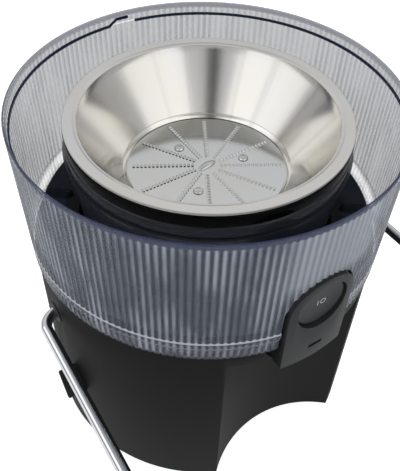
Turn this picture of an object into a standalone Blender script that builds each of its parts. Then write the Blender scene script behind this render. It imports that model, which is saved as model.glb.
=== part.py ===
"""Centrifugal juice extractor without its lid: motor base, clear pulp tub, juice bowl, steel basket, chrome bail.

Metres, +Z up. The origin is on the spin axis, at the centre of the underside. The glass recess, the control
panel and the lowered bail point to -Y, and the bail turns on a line along X.
"""

import math

import bmesh
import bpy
from mathutils import Matrix, Vector

MM = 0.001

# How finely round shapes are cut
ROUND = 56
MID_ROUND = 32
SMALL_ROUND = 16
SMOOTH_ANGLE = math.radians(35)

# Air between pieces
SEAT_GAP = 0.3 * MM
RUNNING_GAP = 0.8 * MM
LIFT_GAP = 1.2 * MM

# Motor base
BASE_R = 96.8 * MM
BASE_WALL = 2.6 * MM
BASE_H = 125.3 * MM
RECESS_R = 65.0 * MM
RECESS_CENTRE_Y = -BASE_R - 37.2 * MM
RECESS_H = BASE_H - 8.3 * MM
COVER_T = 2.4 * MM
COVER_UP = 1.0 * MM
CENTRE_PAD_R = 22.0 * MM
FOOT_R = 8.0 * MM
FOOT_H = 3.0 * MM
FOOT_RING_R = BASE_R - 14.8 * MM
FOOT_TURNS = (38.0, 142.0, 218.0, 322.0)
SCREW_RING_R = BASE_R - 9.3 * MM
SCREW_TURNS = (60.0, 120.0, 240.0, 300.0)
SCREW_R = 1.5 * MM
SCREW_HEAD_R = 3.0 * MM
SCREW_LENGTH = 12.0 * MM
SCREW_POST_H = 22.0 * MM
VENT_COUNT = 10
VENT_W = 3.0 * MM
VENT_IN_R = 30.0 * MM
VENT_OUT_R = 50.0 * MM
GLAND_R = 7.0 * MM
GLAND_BORE_R = 3.6 * MM
GLAND_Z = 22.0 * MM

# Side lugs, one on each flank
LUG_OUT_X = BASE_R + 9.2 * MM
LUG_T = 3.0 * MM
LUG_TOP = (-10.0 * MM, 64.0 * MM)
LUG_FOOT = (-19.4 * MM, 48.5 * MM)

# Deck on top of the base
DECK_T = 2.4 * MM
DECK_RISE = 9.6 * MM
DECK_R = BASE_R - 3.8 * MM
DECK_POCKET_TURNS = (-128.0, 56.0)
DECK_POCKET_L = 17.0 * MM
DECK_POCKET_W = 8.0 * MM
DECK_POCKET_R = DECK_R - DECK_POCKET_L / 2

# Pulp tub: clear outer wall, floor, low inner lip, and a pocket round the control panel
TUB_FOOT_R = BASE_R + 1.1 * MM
TUB_R = TUB_FOOT_R + 2.1 * MM
TUB_H = 81.6 * MM
TUB_WALL = 2.6 * MM
TUB_SKIRT_H = 12.5 * MM
TUB_FLOOR_T = 2.5 * MM
TUB_LEDGE_DROP = 6.2 * MM
TUB_LEDGE_W = 1.3 * MM
TUB_LIP_H = 4.0 * MM
TUB_LIP_T = 1.6 * MM
POCKET_WALL = 2.0 * MM

# Control panel, button and lamp
BUTTON_R = 14.0 * MM
BUTTON_T = 3.0 * MM
BUTTON_SUNK = 2.4 * MM
BUTTON_TRAVEL = 1.5 * MM
PANEL_HALF_W = BUTTON_R + 5.2 * MM
PANEL_FACE_R = TUB_R
PANEL_BACK_Y = -PANEL_FACE_R + 11.6 * MM
PANEL_WALL = 2.8 * MM
PANEL_BOTTOM_Z = BASE_H - 14.8 * MM
PANEL_ARCH_Z = BASE_H + 25.0 * MM
LAMP_Z = BASE_H - 5.0 * MM
LAMP_W = 8.4 * MM
LAMP_H = 2.4 * MM

# Steel basket. Its rim is the size that the ring and the bowl follow
RIM_R = 73.2 * MM
RIM_T = 1.0 * MM
RIM_DROP = 8.9 * MM
CONE_TOP_R = RIM_R - 6.0 * MM
CONE_BAND_H = 4.0 * MM
CONE_BAND_IN = 2.0 * MM
CONE_T = 0.9 * MM
BASKET_DEPTH = 34.5 * MM
DISC_R = 42.5 * MM
DISC_T = 0.8 * MM
TOOTH_ROWS = 12
TOOTH_ROW_IN_R = 7.0 * MM
TOOTH_ROW_OUT_R = DISC_R - 2.5 * MM
TOOTH_ROW_W = 3.0 * MM
TOOTH_H = 0.9 * MM
RIVET_RING_R = 21.0 * MM
RIVET_TURNS = (-45.8, 76.2, 193.3)
RIVET_R = 1.5 * MM
RIVET_HEAD_R = 2.7 * MM
RIVET_HEAD_H = 0.9 * MM
RIVET_L = 4.0 * MM
HUB_R = 19.0 * MM
HUB_FLANGE_R = DISC_R - 5.0 * MM
HUB_FLANGE_T = 1.8 * MM

# Juice bowl with the black ring on its edge
RING_R = RIM_R + 0.2 * MM
RING_IN_R = RING_R - 3.5 * MM
RING_H = 13.6 * MM
RING_DROP = 0.7 * MM
BOWL_TOP_R = RING_R + 1.2 * MM
BOWL_FLOOR_R = BOWL_TOP_R - 7.8 * MM
BOWL_WALL = 1.6 * MM
BOWL_NECK_R = 9.6 * MM
BOWL_NECK_H = 19.0 * MM
SPOUT_W = 18.0 * MM
SPOUT_H = 7.6 * MM
SPOUT_WALL = 1.4 * MM
SPOUT_FRONT_Y = PANEL_BACK_Y + 2.8 * MM
SPOUT_DEPTH = 10.0 * MM
SPOUT_END_Z = RECESS_H - 5.0 * MM

# Motor, from the bottom up
SHAFT_R = 4.0 * MM
SHAFT_BOTTOM_Z = 17.5 * MM
BEARING_R = 11.0 * MM
BEARING_H = 7.0 * MM
BEARING_SEAT_T = 2.2 * MM
BRACKET_R = 54.0 * MM
BRACKET_T = 2.4 * MM
LOWER_BRACKET_Z = 25.3 * MM
UPPER_BRACKET_Z = BASE_H - 19.6 * MM
BRACKET_POST_R = 3.5 * MM
BRACKET_POST_RING_R = 49.5 * MM
STATOR_R = 42.0 * MM
STATOR_BOTTOM_Z = 46.5 * MM
STATOR_H = UPPER_BRACKET_Z - 21.2 * MM - STATOR_BOTTOM_Z
WINDING_IN_R = 27.0 * MM
WINDING_OUT_R = 38.0 * MM
WINDING_H = 7.5 * MM
ARMATURE_R = 23.5 * MM
ARMATURE_H = STATOR_H - 3.0 * MM
ARMATURE_SLOTS = 12
COMMUTATOR_R = 12.0 * MM
COMMUTATOR_H = 9.0 * MM
BRUSH_L = 12.0 * MM
BRUSH_W = 6.0 * MM
FAN_R = 38.0 * MM
FAN_Z = 29.5 * MM
FAN_H = 7.5 * MM
FAN_BLADES = 10
COUPLING_R = 8.4 * MM

# Chrome bail
BAIL_WIRE_R = 3.1 * MM
BAIL_GAP = 2.4 * MM
BAIL_HALF_W = TUB_R + BAIL_GAP + BAIL_WIRE_R
BAIL_SPREAD = 5.0 * MM
BAIL_LENGTH = 175.0 * MM
BAIL_PIVOT_Z = BASE_H - 23.1 * MM
BAIL_DROOP = math.radians(2.2)
BAIL_BEND_R = 9.0 * MM
BAIL_CORNER_R = 16.0 * MM
BUSH_R = BAIL_WIRE_R + 2.9 * MM
BUSH_IN_X = BASE_R - 6.3 * MM
BUSH_OUT_X = BASE_R + 0.6 * MM
BAIL_END_X = BUSH_IN_X - 3.5 * MM
CLIP_R = BAIL_WIRE_R + 2.3 * MM
CLIP_T = 1.2 * MM

# Heights that follow from the sizes above
DECK_Z = BASE_H + SEAT_GAP + DECK_RISE
TUB_BOTTOM_Z = BASE_H + SEAT_GAP
TUB_TOP_Z = TUB_BOTTOM_Z + TUB_H
RIM_Z = TUB_TOP_Z - RIM_DROP
DISC_Z = RIM_Z - BASKET_DEPTH
BOWL_TOP_Z = RIM_Z - RIM_T - RING_DROP - RING_H - SEAT_GAP
COUPLING_TOP_Z = DISC_Z - 11.8 * MM
SHAFT_TOP_Z = COUPLING_TOP_Z - 3.3 * MM
TUB_FLOOR_Z = TUB_BOTTOM_Z + TUB_SKIRT_H
TUB_LIP_R = BOWL_TOP_R + 2 * LIFT_GAP
WELL_R = BOWL_FLOOR_R + 4 * MM
WELL_Z = BASE_H + RUNNING_GAP
BOWL_BOTTOM_Z = WELL_Z + SEAT_GAP
BOWL_FLOOR_Z = BOWL_BOTTOM_Z + BOWL_WALL
NECK_TOP_Z = BOWL_BOTTOM_Z + BOWL_NECK_H
CONE_TOP_Z = RIM_Z - RIM_T - SEAT_GAP
CONE_LOW_R = DISC_R + RUNNING_GAP
DISC_LOW_Z = DISC_Z - DISC_T
HUB_TOP_Z = DISC_LOW_Z - RUNNING_GAP


def clear_scene():
    for thing in list(bpy.data.objects):
        bpy.data.objects.remove(thing)


def material(name, colour, roughness, metallic=0.0, alpha=1.0):
    finish = bpy.data.materials.new(name)
    finish.use_nodes = True
    shader = finish.node_tree.nodes["Principled BSDF"]
    shader.inputs["Base Color"].default_value = (*colour, 1.0)
    shader.inputs["Roughness"].default_value = roughness
    shader.inputs["Metallic"].default_value = metallic
    shader.inputs["Alpha"].default_value = alpha
    return finish


def piece(name, shape, finish):
    """Turns a bmesh into a named, shaded object and frees the bmesh."""
    bmesh.ops.remove_doubles(shape, verts=shape.verts, dist=1e-6)
    bmesh.ops.recalc_face_normals(shape, faces=shape.faces)
    mesh = bpy.data.meshes.new(name)
    shape.to_mesh(mesh)
    shape.free()
    mesh.shade_smooth()
    mesh.set_sharp_from_angle(angle=SMOOTH_ANGLE)
    made = bpy.data.objects.new(name, mesh)
    if finish:
        mesh.materials.append(finish)
    bpy.context.scene.collection.objects.link(made)
    return made


def loop_of(shape, points):
    verts = [shape.verts.new(point) for point in points]
    return verts, [shape.edges.new(pair) for pair in zip(verts, verts[1:] + verts[:1])]


def turned(name, profile, finish=None, steps=ROUND):
    """Spins a closed (radius, height) outline once round the Z axis."""
    shape = bmesh.new()
    verts, edges = loop_of(shape, [(radius, 0, height) for radius, height in profile])
    bmesh.ops.spin(
        shape, geom=verts + edges, cent=(0, 0, 0), axis=(0, 0, 1),
        angle=math.tau, steps=steps, use_merge=True,
    )
    bmesh.ops.dissolve_degenerate(shape, dist=1e-7, edges=shape.edges)
    return piece(name, shape, finish)


def ring(name, inner, outer, bottom, top, finish=None, steps=ROUND):
    outline = [(outer, top), (outer, bottom), (inner, bottom), (inner, top)]
    return turned(name, outline, finish, steps)


def rod(name, radius, bottom, top, finish=None, centre=(0, 0), steps=SMALL_ROUND):
    """An upright solid cylinder."""
    shape = bmesh.new()
    place = Matrix.Translation((centre[0], centre[1], (bottom + top) / 2))
    bmesh.ops.create_cone(
        shape, cap_ends=True, segments=steps, radius1=radius, radius2=radius,
        depth=top - bottom, matrix=place,
    )
    return piece(name, shape, finish)


def block(name, low, high, finish=None):
    shape = bmesh.new()
    size = Vector(high) - Vector(low)
    place = Matrix.Translation((Vector(high) + Vector(low)) / 2) @ Matrix.Diagonal((*size, 1))
    bmesh.ops.create_cube(shape, size=1, matrix=place)
    return piece(name, shape, finish)


def extruded(name, points, along, finish=None):
    """Extrudes a flat closed outline by the vector along."""
    shape = bmesh.new()
    face = shape.faces.new([shape.verts.new(point) for point in points])
    grown = bmesh.ops.extrude_face_region(shape, geom=[face])["geom"]
    moved = [item for item in grown if isinstance(item, bmesh.types.BMVert)]
    bmesh.ops.translate(shape, verts=moved, vec=along)
    return piece(name, shape, finish)


def arched(name, half_width, bottom, front, back, finish=None, steps=28):
    """An upright arched slab facing -Y: straight sides, round top centred on the button."""
    outline = [(half_width, front, bottom)]
    for step in range(steps + 1):
        turn = math.pi * step / steps
        outline.append((half_width * math.cos(turn), front, PANEL_ARCH_Z + half_width * math.sin(turn)))
    outline.append((-half_width, front, bottom))
    return extruded(name, outline, (0, back - front, 0), finish)


def turn_to(thing, axis):
    """Lays a piece made along +Z down along another axis, in its mesh."""
    thing.data.transform(Vector((0, 0, 1)).rotation_difference(Vector(axis)).to_matrix().to_4x4())
    return thing


def shift(thing, by):
    thing.data.transform(Matrix.Translation(by))
    return thing


def set_origin(thing, point):
    """Puts an object's origin on its joint axis, leaving the piece where it is."""
    shift(thing, -Vector(point))
    thing.location = point
    return thing


def boolean(target, other, operation):
    step = target.modifiers.new(other.name, "BOOLEAN")
    step.object = other
    step.operation = operation
    step.solver = "EXACT"
    other.hide_render = True
    other.display_type = "WIRE"


def cut(target, *cutters):
    for cutter in cutters:
        boolean(target, cutter, "DIFFERENCE")


def fuse(target, *others):
    for other in others:
        boolean(target, other, "UNION")


def keep_inside(target, other):
    boolean(target, other, "INTERSECT")


def on_ring(radius, degrees):
    """A point at a turn counted from the front (-Y) towards +X."""
    turn = math.radians(degrees)
    return radius * math.sin(turn), -radius * math.cos(turn)


def recess_tool(name, radius, top, bottom=-10 * MM):
    """The upright cylinder that the glass stands in."""
    return rod(name, radius, bottom, top, centre=(0, RECESS_CENTRE_Y), steps=ROUND)


def panel_room(name, gap, bottom, back=PANEL_BACK_Y):
    """The space that the control panel takes, with a gap all round it."""
    return arched(name, PANEL_HALF_W + gap, bottom - gap, -PANEL_FACE_R - 10 * MM, back + gap)


def make_housing(finish):
    housing = rod("motor_housing", BASE_R, 0, BASE_H, finish, steps=ROUND)
    hollow = rod("housing_hollow", BASE_R - BASE_WALL, -5 * MM, BASE_H + 5 * MM, steps=ROUND)
    cut(hollow, recess_tool("recess_wall", RECESS_R + BASE_WALL, RECESS_H + BASE_WALL))
    cut(housing, hollow, recess_tool("recess", RECESS_R, RECESS_H))
    for number, turn in enumerate(SCREW_TURNS, 1):
        centre = on_ring(SCREW_RING_R, turn)
        bottom = COVER_UP + COVER_T + SEAT_GAP
        reach = BASE_R - BASE_WALL / 2 - SCREW_RING_R
        post = rod(f"screw_post_{number}", reach, bottom, SCREW_POST_H, centre=centre)
        hole = rod(f"screw_hole_{number}", SCREW_R + SEAT_GAP, bottom - MM, SCREW_POST_H - 3 * MM, centre=centre)
        fuse(housing, post)
        cut(housing, hole)
    for side, sign in (("left", -1), ("right", 1)):
        hole = rod(f"bush_hole_{side}", BUSH_R + SEAT_GAP, BASE_R - 12 * MM, BASE_R + 10 * MM)
        shift(turn_to(hole, (sign, 0, 0)), (0, 0, BAIL_PIVOT_Z))
        cut(housing, hole)
        fuse(housing, make_lug(side, sign))
    gland_hole = rod("gland_hole", GLAND_R + SEAT_GAP, BASE_R - 12 * MM, BASE_R + 10 * MM)
    cut(housing, shift(turn_to(gland_hole, (0, 1, 0)), (0, 0, GLAND_Z)))
    window = block(
        "spout_window",
        (-SPOUT_W / 2 - 3 * MM, SPOUT_FRONT_Y - 1.5 * MM, RECESS_H - 5 * MM),
        (SPOUT_W / 2 + 3 * MM, SPOUT_FRONT_Y + SPOUT_DEPTH + 2 * MM, BASE_H + 5 * MM),
    )
    cut(housing, window, panel_room("housing_panel_room", SEAT_GAP, PANEL_BOTTOM_Z))
    return housing


def make_lug(side, sign):
    """A short slanting fin that stands out of the flank."""
    run = Vector((0, LUG_TOP[0] - LUG_FOOT[0], LUG_TOP[1] - LUG_FOOT[1]))
    across = Vector((0, -run.z, run.y)).normalized() * LUG_T
    foot = Vector((sign * (BASE_R - BASE_WALL), *LUG_FOOT))
    outline = [foot, foot + run, foot + run + across, foot + across]
    return extruded(f"lug_{side}", outline, (sign * (LUG_OUT_X - BASE_R + BASE_WALL), 0, 0))


def make_cover(finish):
    radius = BASE_R - BASE_WALL - SEAT_GAP
    cover = rod("bottom_cover", radius, COVER_UP, COVER_UP + COVER_T, finish, steps=ROUND)
    fuse(cover, rod("centre_pad", CENTRE_PAD_R, 0, COVER_UP + MM))
    cut(cover, recess_tool("cover_recess", RECESS_R + BASE_WALL + SEAT_GAP, RECESS_H))
    for number in range(VENT_COUNT):
        turn = math.tau * (number + 0.5) / VENT_COUNT
        slot = block(
            f"vent_{number + 1}", (VENT_IN_R, -VENT_W / 2, COVER_UP - MM),
            (VENT_OUT_R, VENT_W / 2, COVER_UP + COVER_T + MM),
        )
        slot.data.transform(Matrix.Rotation(turn, 4, "Z"))
        cut(cover, slot)
    for number, turn in enumerate(SCREW_TURNS, 1):
        centre = on_ring(SCREW_RING_R, turn)
        hole = rod(f"cover_hole_{number}", SCREW_R + SEAT_GAP, 0, 10 * MM, centre=centre)
        sink = rod(f"cover_sink_{number}", SCREW_HEAD_R + SEAT_GAP, 0, COVER_UP + COVER_T / 2, centre=centre)
        cut(cover, hole, sink)
    return cover


def make_feet_and_screws(rubber, steel):
    for number, turn in enumerate(FOOT_TURNS, 1):
        x, y = on_ring(FOOT_RING_R, turn)
        edge = 1.0 * MM
        outline = [
            (0, COVER_UP - SEAT_GAP), (FOOT_R, COVER_UP - SEAT_GAP), (FOOT_R, edge - FOOT_H),
            (FOOT_R - edge, -FOOT_H), (0, -FOOT_H),
        ]
        shift(turned(f"foot_{number}", outline, rubber, SMALL_ROUND), (x, y, 0))
    head_top = COVER_UP + COVER_T / 2 - SEAT_GAP
    for number, turn in enumerate(SCREW_TURNS, 1):
        x, y = on_ring(SCREW_RING_R, turn)
        outline = [
            (0, head_top + SCREW_LENGTH), (SCREW_R, head_top + SCREW_LENGTH), (SCREW_R, head_top),
            (SCREW_HEAD_R, head_top), (SCREW_HEAD_R, COVER_UP - SEAT_GAP), (0, COVER_UP - SEAT_GAP),
        ]
        shift(turned(f"cover_screw_{number}", outline, steel, SMALL_ROUND), (x, y, 0))


def make_gland(finish):
    """The grommet at the back that the mains lead would pass through."""
    flange_r = GLAND_R + 2 * MM
    outline = [
        (flange_r, BASE_R + 2.5 * MM), (flange_r, BASE_R + SEAT_GAP), (GLAND_R, BASE_R + SEAT_GAP),
        (GLAND_R, BASE_R - 7 * MM), (GLAND_BORE_R, BASE_R - 7 * MM), (GLAND_BORE_R, BASE_R + 2.5 * MM),
    ]
    gland = turned("cord_gland", outline, finish, SMALL_ROUND)
    return shift(turn_to(gland, (0, 1, 0)), (0, 0, GLAND_Z))


def make_deck(finish):
    low = DECK_Z - DECK_T
    seal_r = SHAFT_R + 9 * MM
    outline = [
        (DECK_R, DECK_Z), (DECK_R, TUB_BOTTOM_Z), (DECK_R - DECK_T, TUB_BOTTOM_Z), (DECK_R - DECK_T, low),
        (WELL_R + DECK_T, low), (WELL_R + DECK_T, WELL_Z - DECK_T), (seal_r, WELL_Z - DECK_T),
        (seal_r, WELL_Z), (WELL_R, WELL_Z), (WELL_R, DECK_Z),
    ]
    deck = turned("top_deck", outline, finish)
    channel = block(
        "spout_channel",
        (-SPOUT_W / 2 - MM, -DECK_R - 5 * MM, WELL_Z - 5 * MM),
        (SPOUT_W / 2 + MM, -BOWL_FLOOR_R - 0.8 * MM, DECK_Z + 5 * MM),
    )
    cut(deck, channel, panel_room("deck_panel_room", SEAT_GAP, PANEL_BOTTOM_Z, SPOUT_FRONT_Y - 1.5 * MM))
    for number, turn in enumerate(DECK_POCKET_TURNS, 1):
        half = (DECK_POCKET_L - DECK_POCKET_W) / 2
        ends = [(DECK_POCKET_R + half, 0), (DECK_POCKET_R - half, math.pi)]
        outline = []
        for centre, start in ends:
            for step in range(9):
                angle = start - math.pi / 2 + math.pi * step / 8
                across = DECK_POCKET_W / 2 * math.sin(angle)
                outline.append((centre + DECK_POCKET_W / 2 * math.cos(angle), across, low - MM))
        slot = extruded(f"deck_pocket_{number}", outline, (0, 0, DECK_T + 2 * MM))
        slot.data.transform(Matrix.Rotation(math.radians(turn - 90), 4, "Z"))
        cut(deck, slot)
    return deck


def make_panel(finish):
    panel = arched("control_panel", PANEL_HALF_W, PANEL_BOTTOM_Z, -PANEL_FACE_R - 5 * MM, PANEL_BACK_Y, finish)
    keep_inside(panel, rod("panel_face", PANEL_FACE_R, 0, TUB_TOP_Z, steps=4 * ROUND))
    inside = arched(
        "panel_hollow", PANEL_HALF_W - PANEL_WALL, PANEL_BOTTOM_Z + PANEL_WALL,
        -PANEL_FACE_R * math.cos(PANEL_HALF_W / PANEL_FACE_R) + PANEL_WALL, PANEL_BACK_Y + 5 * MM,
    )
    hole = rod("button_hole", BUTTON_R + 2 * SEAT_GAP, -PANEL_BACK_Y - 8 * MM, PANEL_FACE_R + 10 * MM, steps=48)
    shift(turn_to(hole, (0, -1, 0)), (0, 0, PANEL_ARCH_Z))
    slot = block(
        "lamp_slot",
        (-LAMP_W / 2, -PANEL_FACE_R - 5 * MM, LAMP_Z - LAMP_H / 2),
        (LAMP_W / 2, PANEL_BACK_Y, LAMP_Z + LAMP_H / 2),
    )
    cut(panel, inside, hole, slot)
    return panel


def make_controls(button_finish, switch_finish, lamp_finish):
    front = -PANEL_FACE_R + BUTTON_SUNK
    button = rod("power_button", BUTTON_R, -front - BUTTON_T, -front, button_finish, steps=48)
    shift(turn_to(button, (0, -1, 0)), (0, 0, PANEL_ARCH_Z))
    set_origin(button, (0, front, PANEL_ARCH_Z))

    switch_front = front + BUTTON_T + BUTTON_TRAVEL + 2 * SEAT_GAP
    half = PANEL_HALF_W - PANEL_WALL - 4 * MM
    block(
        "switch_body",
        (-half, switch_front, PANEL_ARCH_Z - half / 1.5), (half, PANEL_BACK_Y - SEAT_GAP, PANEL_ARCH_Z + half / 1.5),
        switch_finish,
    )
    face = -PANEL_FACE_R + 0.6 * MM
    block(
        "indicator_lens",
        (-LAMP_W / 2 + SEAT_GAP, face, LAMP_Z - LAMP_H / 2 + SEAT_GAP),
        (LAMP_W / 2 - SEAT_GAP, face + 2 * MM, LAMP_Z + LAMP_H / 2 - SEAT_GAP),
        lamp_finish,
    )


def make_tub(finish):
    """The clear pulp tub, with a pocket in its front that goes round the control panel."""
    ledge_z = TUB_TOP_Z - TUB_LEDGE_DROP

    def outer_at(height):
        return TUB_FOOT_R + (TUB_R - TUB_FOOT_R) * (height - TUB_BOTTOM_Z) / TUB_H

    floor_wall_r = outer_at(TUB_FLOOR_Z) - TUB_WALL
    fillet = 2.0 * MM
    outline = [
        (TUB_R, TUB_TOP_Z), (TUB_FOOT_R, TUB_BOTTOM_Z), (DECK_R + LIFT_GAP, TUB_BOTTOM_Z),
        (DECK_R + LIFT_GAP, TUB_FLOOR_Z - TUB_FLOOR_T), (TUB_LIP_R, TUB_FLOOR_Z - TUB_FLOOR_T),
        (TUB_LIP_R, TUB_FLOOR_Z + TUB_LIP_H), (TUB_LIP_R + TUB_LIP_T, TUB_FLOOR_Z + TUB_LIP_H),
        (TUB_LIP_R + TUB_LIP_T, TUB_FLOOR_Z), (floor_wall_r - fillet, TUB_FLOOR_Z),
        (floor_wall_r, TUB_FLOOR_Z + 2 * fillet), (outer_at(ledge_z) - TUB_WALL, ledge_z),
        (outer_at(ledge_z) - TUB_WALL + TUB_LEDGE_W, ledge_z), (TUB_R - TUB_WALL + TUB_LEDGE_W, TUB_TOP_Z),
    ]
    tub = turned("pulp_tub", outline, finish)
    room_back = PANEL_BACK_Y + LIFT_GAP
    pocket = arched(
        "pocket_shell", PANEL_HALF_W + LIFT_GAP + POCKET_WALL, TUB_FLOOR_Z - TUB_FLOOR_T / 2,
        -TUB_R - 3 * MM, room_back + POCKET_WALL,
    )
    inside_wall = TUB_WALL / 2
    keep_inside(pocket, turned("pocket_limit", [
        (0, TUB_TOP_Z), (TUB_R - inside_wall, TUB_TOP_Z), (TUB_FOOT_R - inside_wall, TUB_BOTTOM_Z),
        (0, TUB_BOTTOM_Z),
    ]))
    fuse(tub, pocket)
    cut(tub, arched("pocket", PANEL_HALF_W + LIFT_GAP, TUB_BOTTOM_Z - 5 * MM, -TUB_R - 5 * MM, room_back))
    return tub


def make_bowl(clear, black):
    """The clear juice bowl, its black ring, and the spout that leads to the glass."""
    inner_floor_r = BOWL_FLOOR_R - BOWL_WALL
    outline = [
        (BOWL_TOP_R, BOWL_TOP_Z), (BOWL_FLOOR_R, TUB_FLOOR_Z), (BOWL_FLOOR_R, BOWL_BOTTOM_Z),
        (BOWL_NECK_R, BOWL_BOTTOM_Z), (BOWL_NECK_R, NECK_TOP_Z), (BOWL_NECK_R + BOWL_WALL, NECK_TOP_Z),
        (BOWL_NECK_R + BOWL_WALL, BOWL_FLOOR_Z), (inner_floor_r, BOWL_FLOOR_Z), (inner_floor_r, TUB_FLOOR_Z),
        (BOWL_TOP_R - BOWL_WALL, BOWL_TOP_Z),
    ]
    bowl = turned("juice_bowl", outline, clear)
    half = SPOUT_W / 2 - SPOUT_WALL
    outlet_top = BOWL_BOTTOM_Z + SPOUT_H - SPOUT_WALL
    cut(bowl, block(
        "bowl_outlet", (-half, -BOWL_FLOOR_R - 5 * MM, BOWL_FLOOR_Z), (half, -BOWL_FLOOR_R + 5 * MM, outlet_top),
    ))

    bottom = BOWL_TOP_Z + SEAT_GAP
    middle = bottom + RING_H / 2
    groove = 0.8 * MM
    turned("bowl_ring", [
        (RING_R, bottom + RING_H), (RING_R, middle + groove), (RING_R - groove, middle + groove / 2),
        (RING_R - groove, middle - groove / 2), (RING_R, middle - groove), (RING_R, bottom),
        (RING_IN_R, bottom), (RING_IN_R, bottom + RING_H),
    ], black)

    start = -BOWL_FLOOR_R - SEAT_GAP
    chute_back = SPOUT_FRONT_Y + SPOUT_DEPTH
    top = BOWL_BOTTOM_Z + SPOUT_H
    wall = SPOUT_WALL
    spout = extruded("spout", [
        (-SPOUT_W / 2, y, z) for y, z in (
            (start, BOWL_BOTTOM_Z), (chute_back, BOWL_BOTTOM_Z), (chute_back, SPOUT_END_Z),
            (SPOUT_FRONT_Y, SPOUT_END_Z), (SPOUT_FRONT_Y, top), (start, top),
        )
    ], (SPOUT_W, 0, 0), clear)
    duct = extruded("spout_duct", [
        (-half, y, z) for y, z in (
            (start + 5 * MM, BOWL_BOTTOM_Z + wall), (chute_back - wall, BOWL_BOTTOM_Z + wall),
            (chute_back - wall, SPOUT_END_Z - 5 * MM), (SPOUT_FRONT_Y + wall, SPOUT_END_Z - 5 * MM),
            (SPOUT_FRONT_Y + wall, top - wall), (start + 5 * MM, top - wall),
        )
    ], (2 * half, 0, 0))
    cut(spout, duct)


def make_basket(steel, disc_steel, black):
    """Rim, cone, grater disc, rivets and hub: everything that lifts off and spins with the motor."""
    low = RIM_Z - RIM_T
    turned("basket_rim", [
        (RIM_R - 0.6 * MM, RIM_Z), (RIM_R, RIM_Z - 0.4 * MM), (RIM_R, low), (CONE_TOP_R - CONE_T, low),
        (CONE_TOP_R - CONE_T, low + 0.6 * MM),
    ], steel)
    lip_r = CONE_LOW_R - 4 * MM
    lip_top = DISC_LOW_Z - SEAT_GAP
    band_z = CONE_TOP_Z - CONE_BAND_H
    band_r = CONE_TOP_R - CONE_BAND_IN
    turned("basket_cone", [
        (CONE_TOP_R + CONE_T, CONE_TOP_Z), (band_r + CONE_T, band_z), (CONE_LOW_R + CONE_T, DISC_LOW_Z),
        (CONE_LOW_R + CONE_T, lip_top - CONE_T), (lip_r, lip_top - CONE_T), (lip_r, lip_top),
        (CONE_LOW_R, lip_top), (CONE_LOW_R, DISC_Z), (band_r, band_z), (CONE_TOP_R, CONE_TOP_Z),
    ], steel)

    disc = rod("grater_disc", DISC_R, DISC_LOW_Z, DISC_Z, disc_steel, steps=ROUND)
    hub = make_hub(black)
    for number, turn in enumerate(RIVET_TURNS, 1):
        centre = on_ring(RIVET_RING_R, turn)
        cut(disc, rod(f"disc_hole_{number}", RIVET_R + SEAT_GAP, DISC_LOW_Z - MM, DISC_Z + MM, centre=centre))
        bottom = DISC_Z + SEAT_GAP - RIVET_L
        cut(hub, rod(f"hub_hole_{number}", RIVET_R + SEAT_GAP, bottom - SEAT_GAP, HUB_TOP_Z + MM, centre=centre))
        seat = DISC_Z + SEAT_GAP
        rivet = turned(f"disc_rivet_{number}", [
            (0, seat + RIVET_HEAD_H), (RIVET_HEAD_R * 0.7, seat + RIVET_HEAD_H * 0.8), (RIVET_HEAD_R, seat),
            (RIVET_R, seat), (RIVET_R, bottom), (0, bottom),
        ], steel, SMALL_ROUND)
        shift(rivet, (*centre, 0))
    rows = bmesh.new()
    for number in range(TOOTH_ROWS):
        turn = math.radians(360 / TOOTH_ROWS * number)
        length = TOOTH_ROW_OUT_R - TOOTH_ROW_IN_R
        low_z, high_z = DISC_Z - DISC_T / 2, DISC_Z + TOOTH_H
        size = Matrix.Diagonal((length, TOOTH_ROW_W, high_z - low_z, 1))
        centre = Matrix.Translation(((TOOTH_ROW_IN_R + TOOTH_ROW_OUT_R) / 2, 0, (low_z + high_z) / 2))
        bmesh.ops.create_cube(rows, size=1, matrix=Matrix.Rotation(turn, 4, "Z") @ centre @ size)
    fuse(disc, piece("tooth_rows", rows, None))


def make_hub(finish):
    """The hub under the disc: a skirt over the bowl's neck and a blind socket for the coupling."""
    skirt_in = BOWL_NECK_R + BOWL_WALL + RUNNING_GAP
    socket_r = COUPLING_R + 0.5 * MM
    shoulder = NECK_TOP_Z + RUNNING_GAP
    return turned("basket_hub", [
        (0, HUB_TOP_Z), (HUB_FLANGE_R, HUB_TOP_Z), (HUB_FLANGE_R, HUB_TOP_Z - HUB_FLANGE_T),
        (HUB_R, HUB_TOP_Z - HUB_FLANGE_T - 2 * MM), (skirt_in + 2 * MM, shoulder - 6 * MM),
        (skirt_in, shoulder - 6 * MM), (skirt_in, shoulder), (socket_r, shoulder),
        (socket_r, COUPLING_TOP_Z + SEAT_GAP), (0, COUPLING_TOP_Z + SEAT_GAP),
    ], finish, MID_ROUND)


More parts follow.
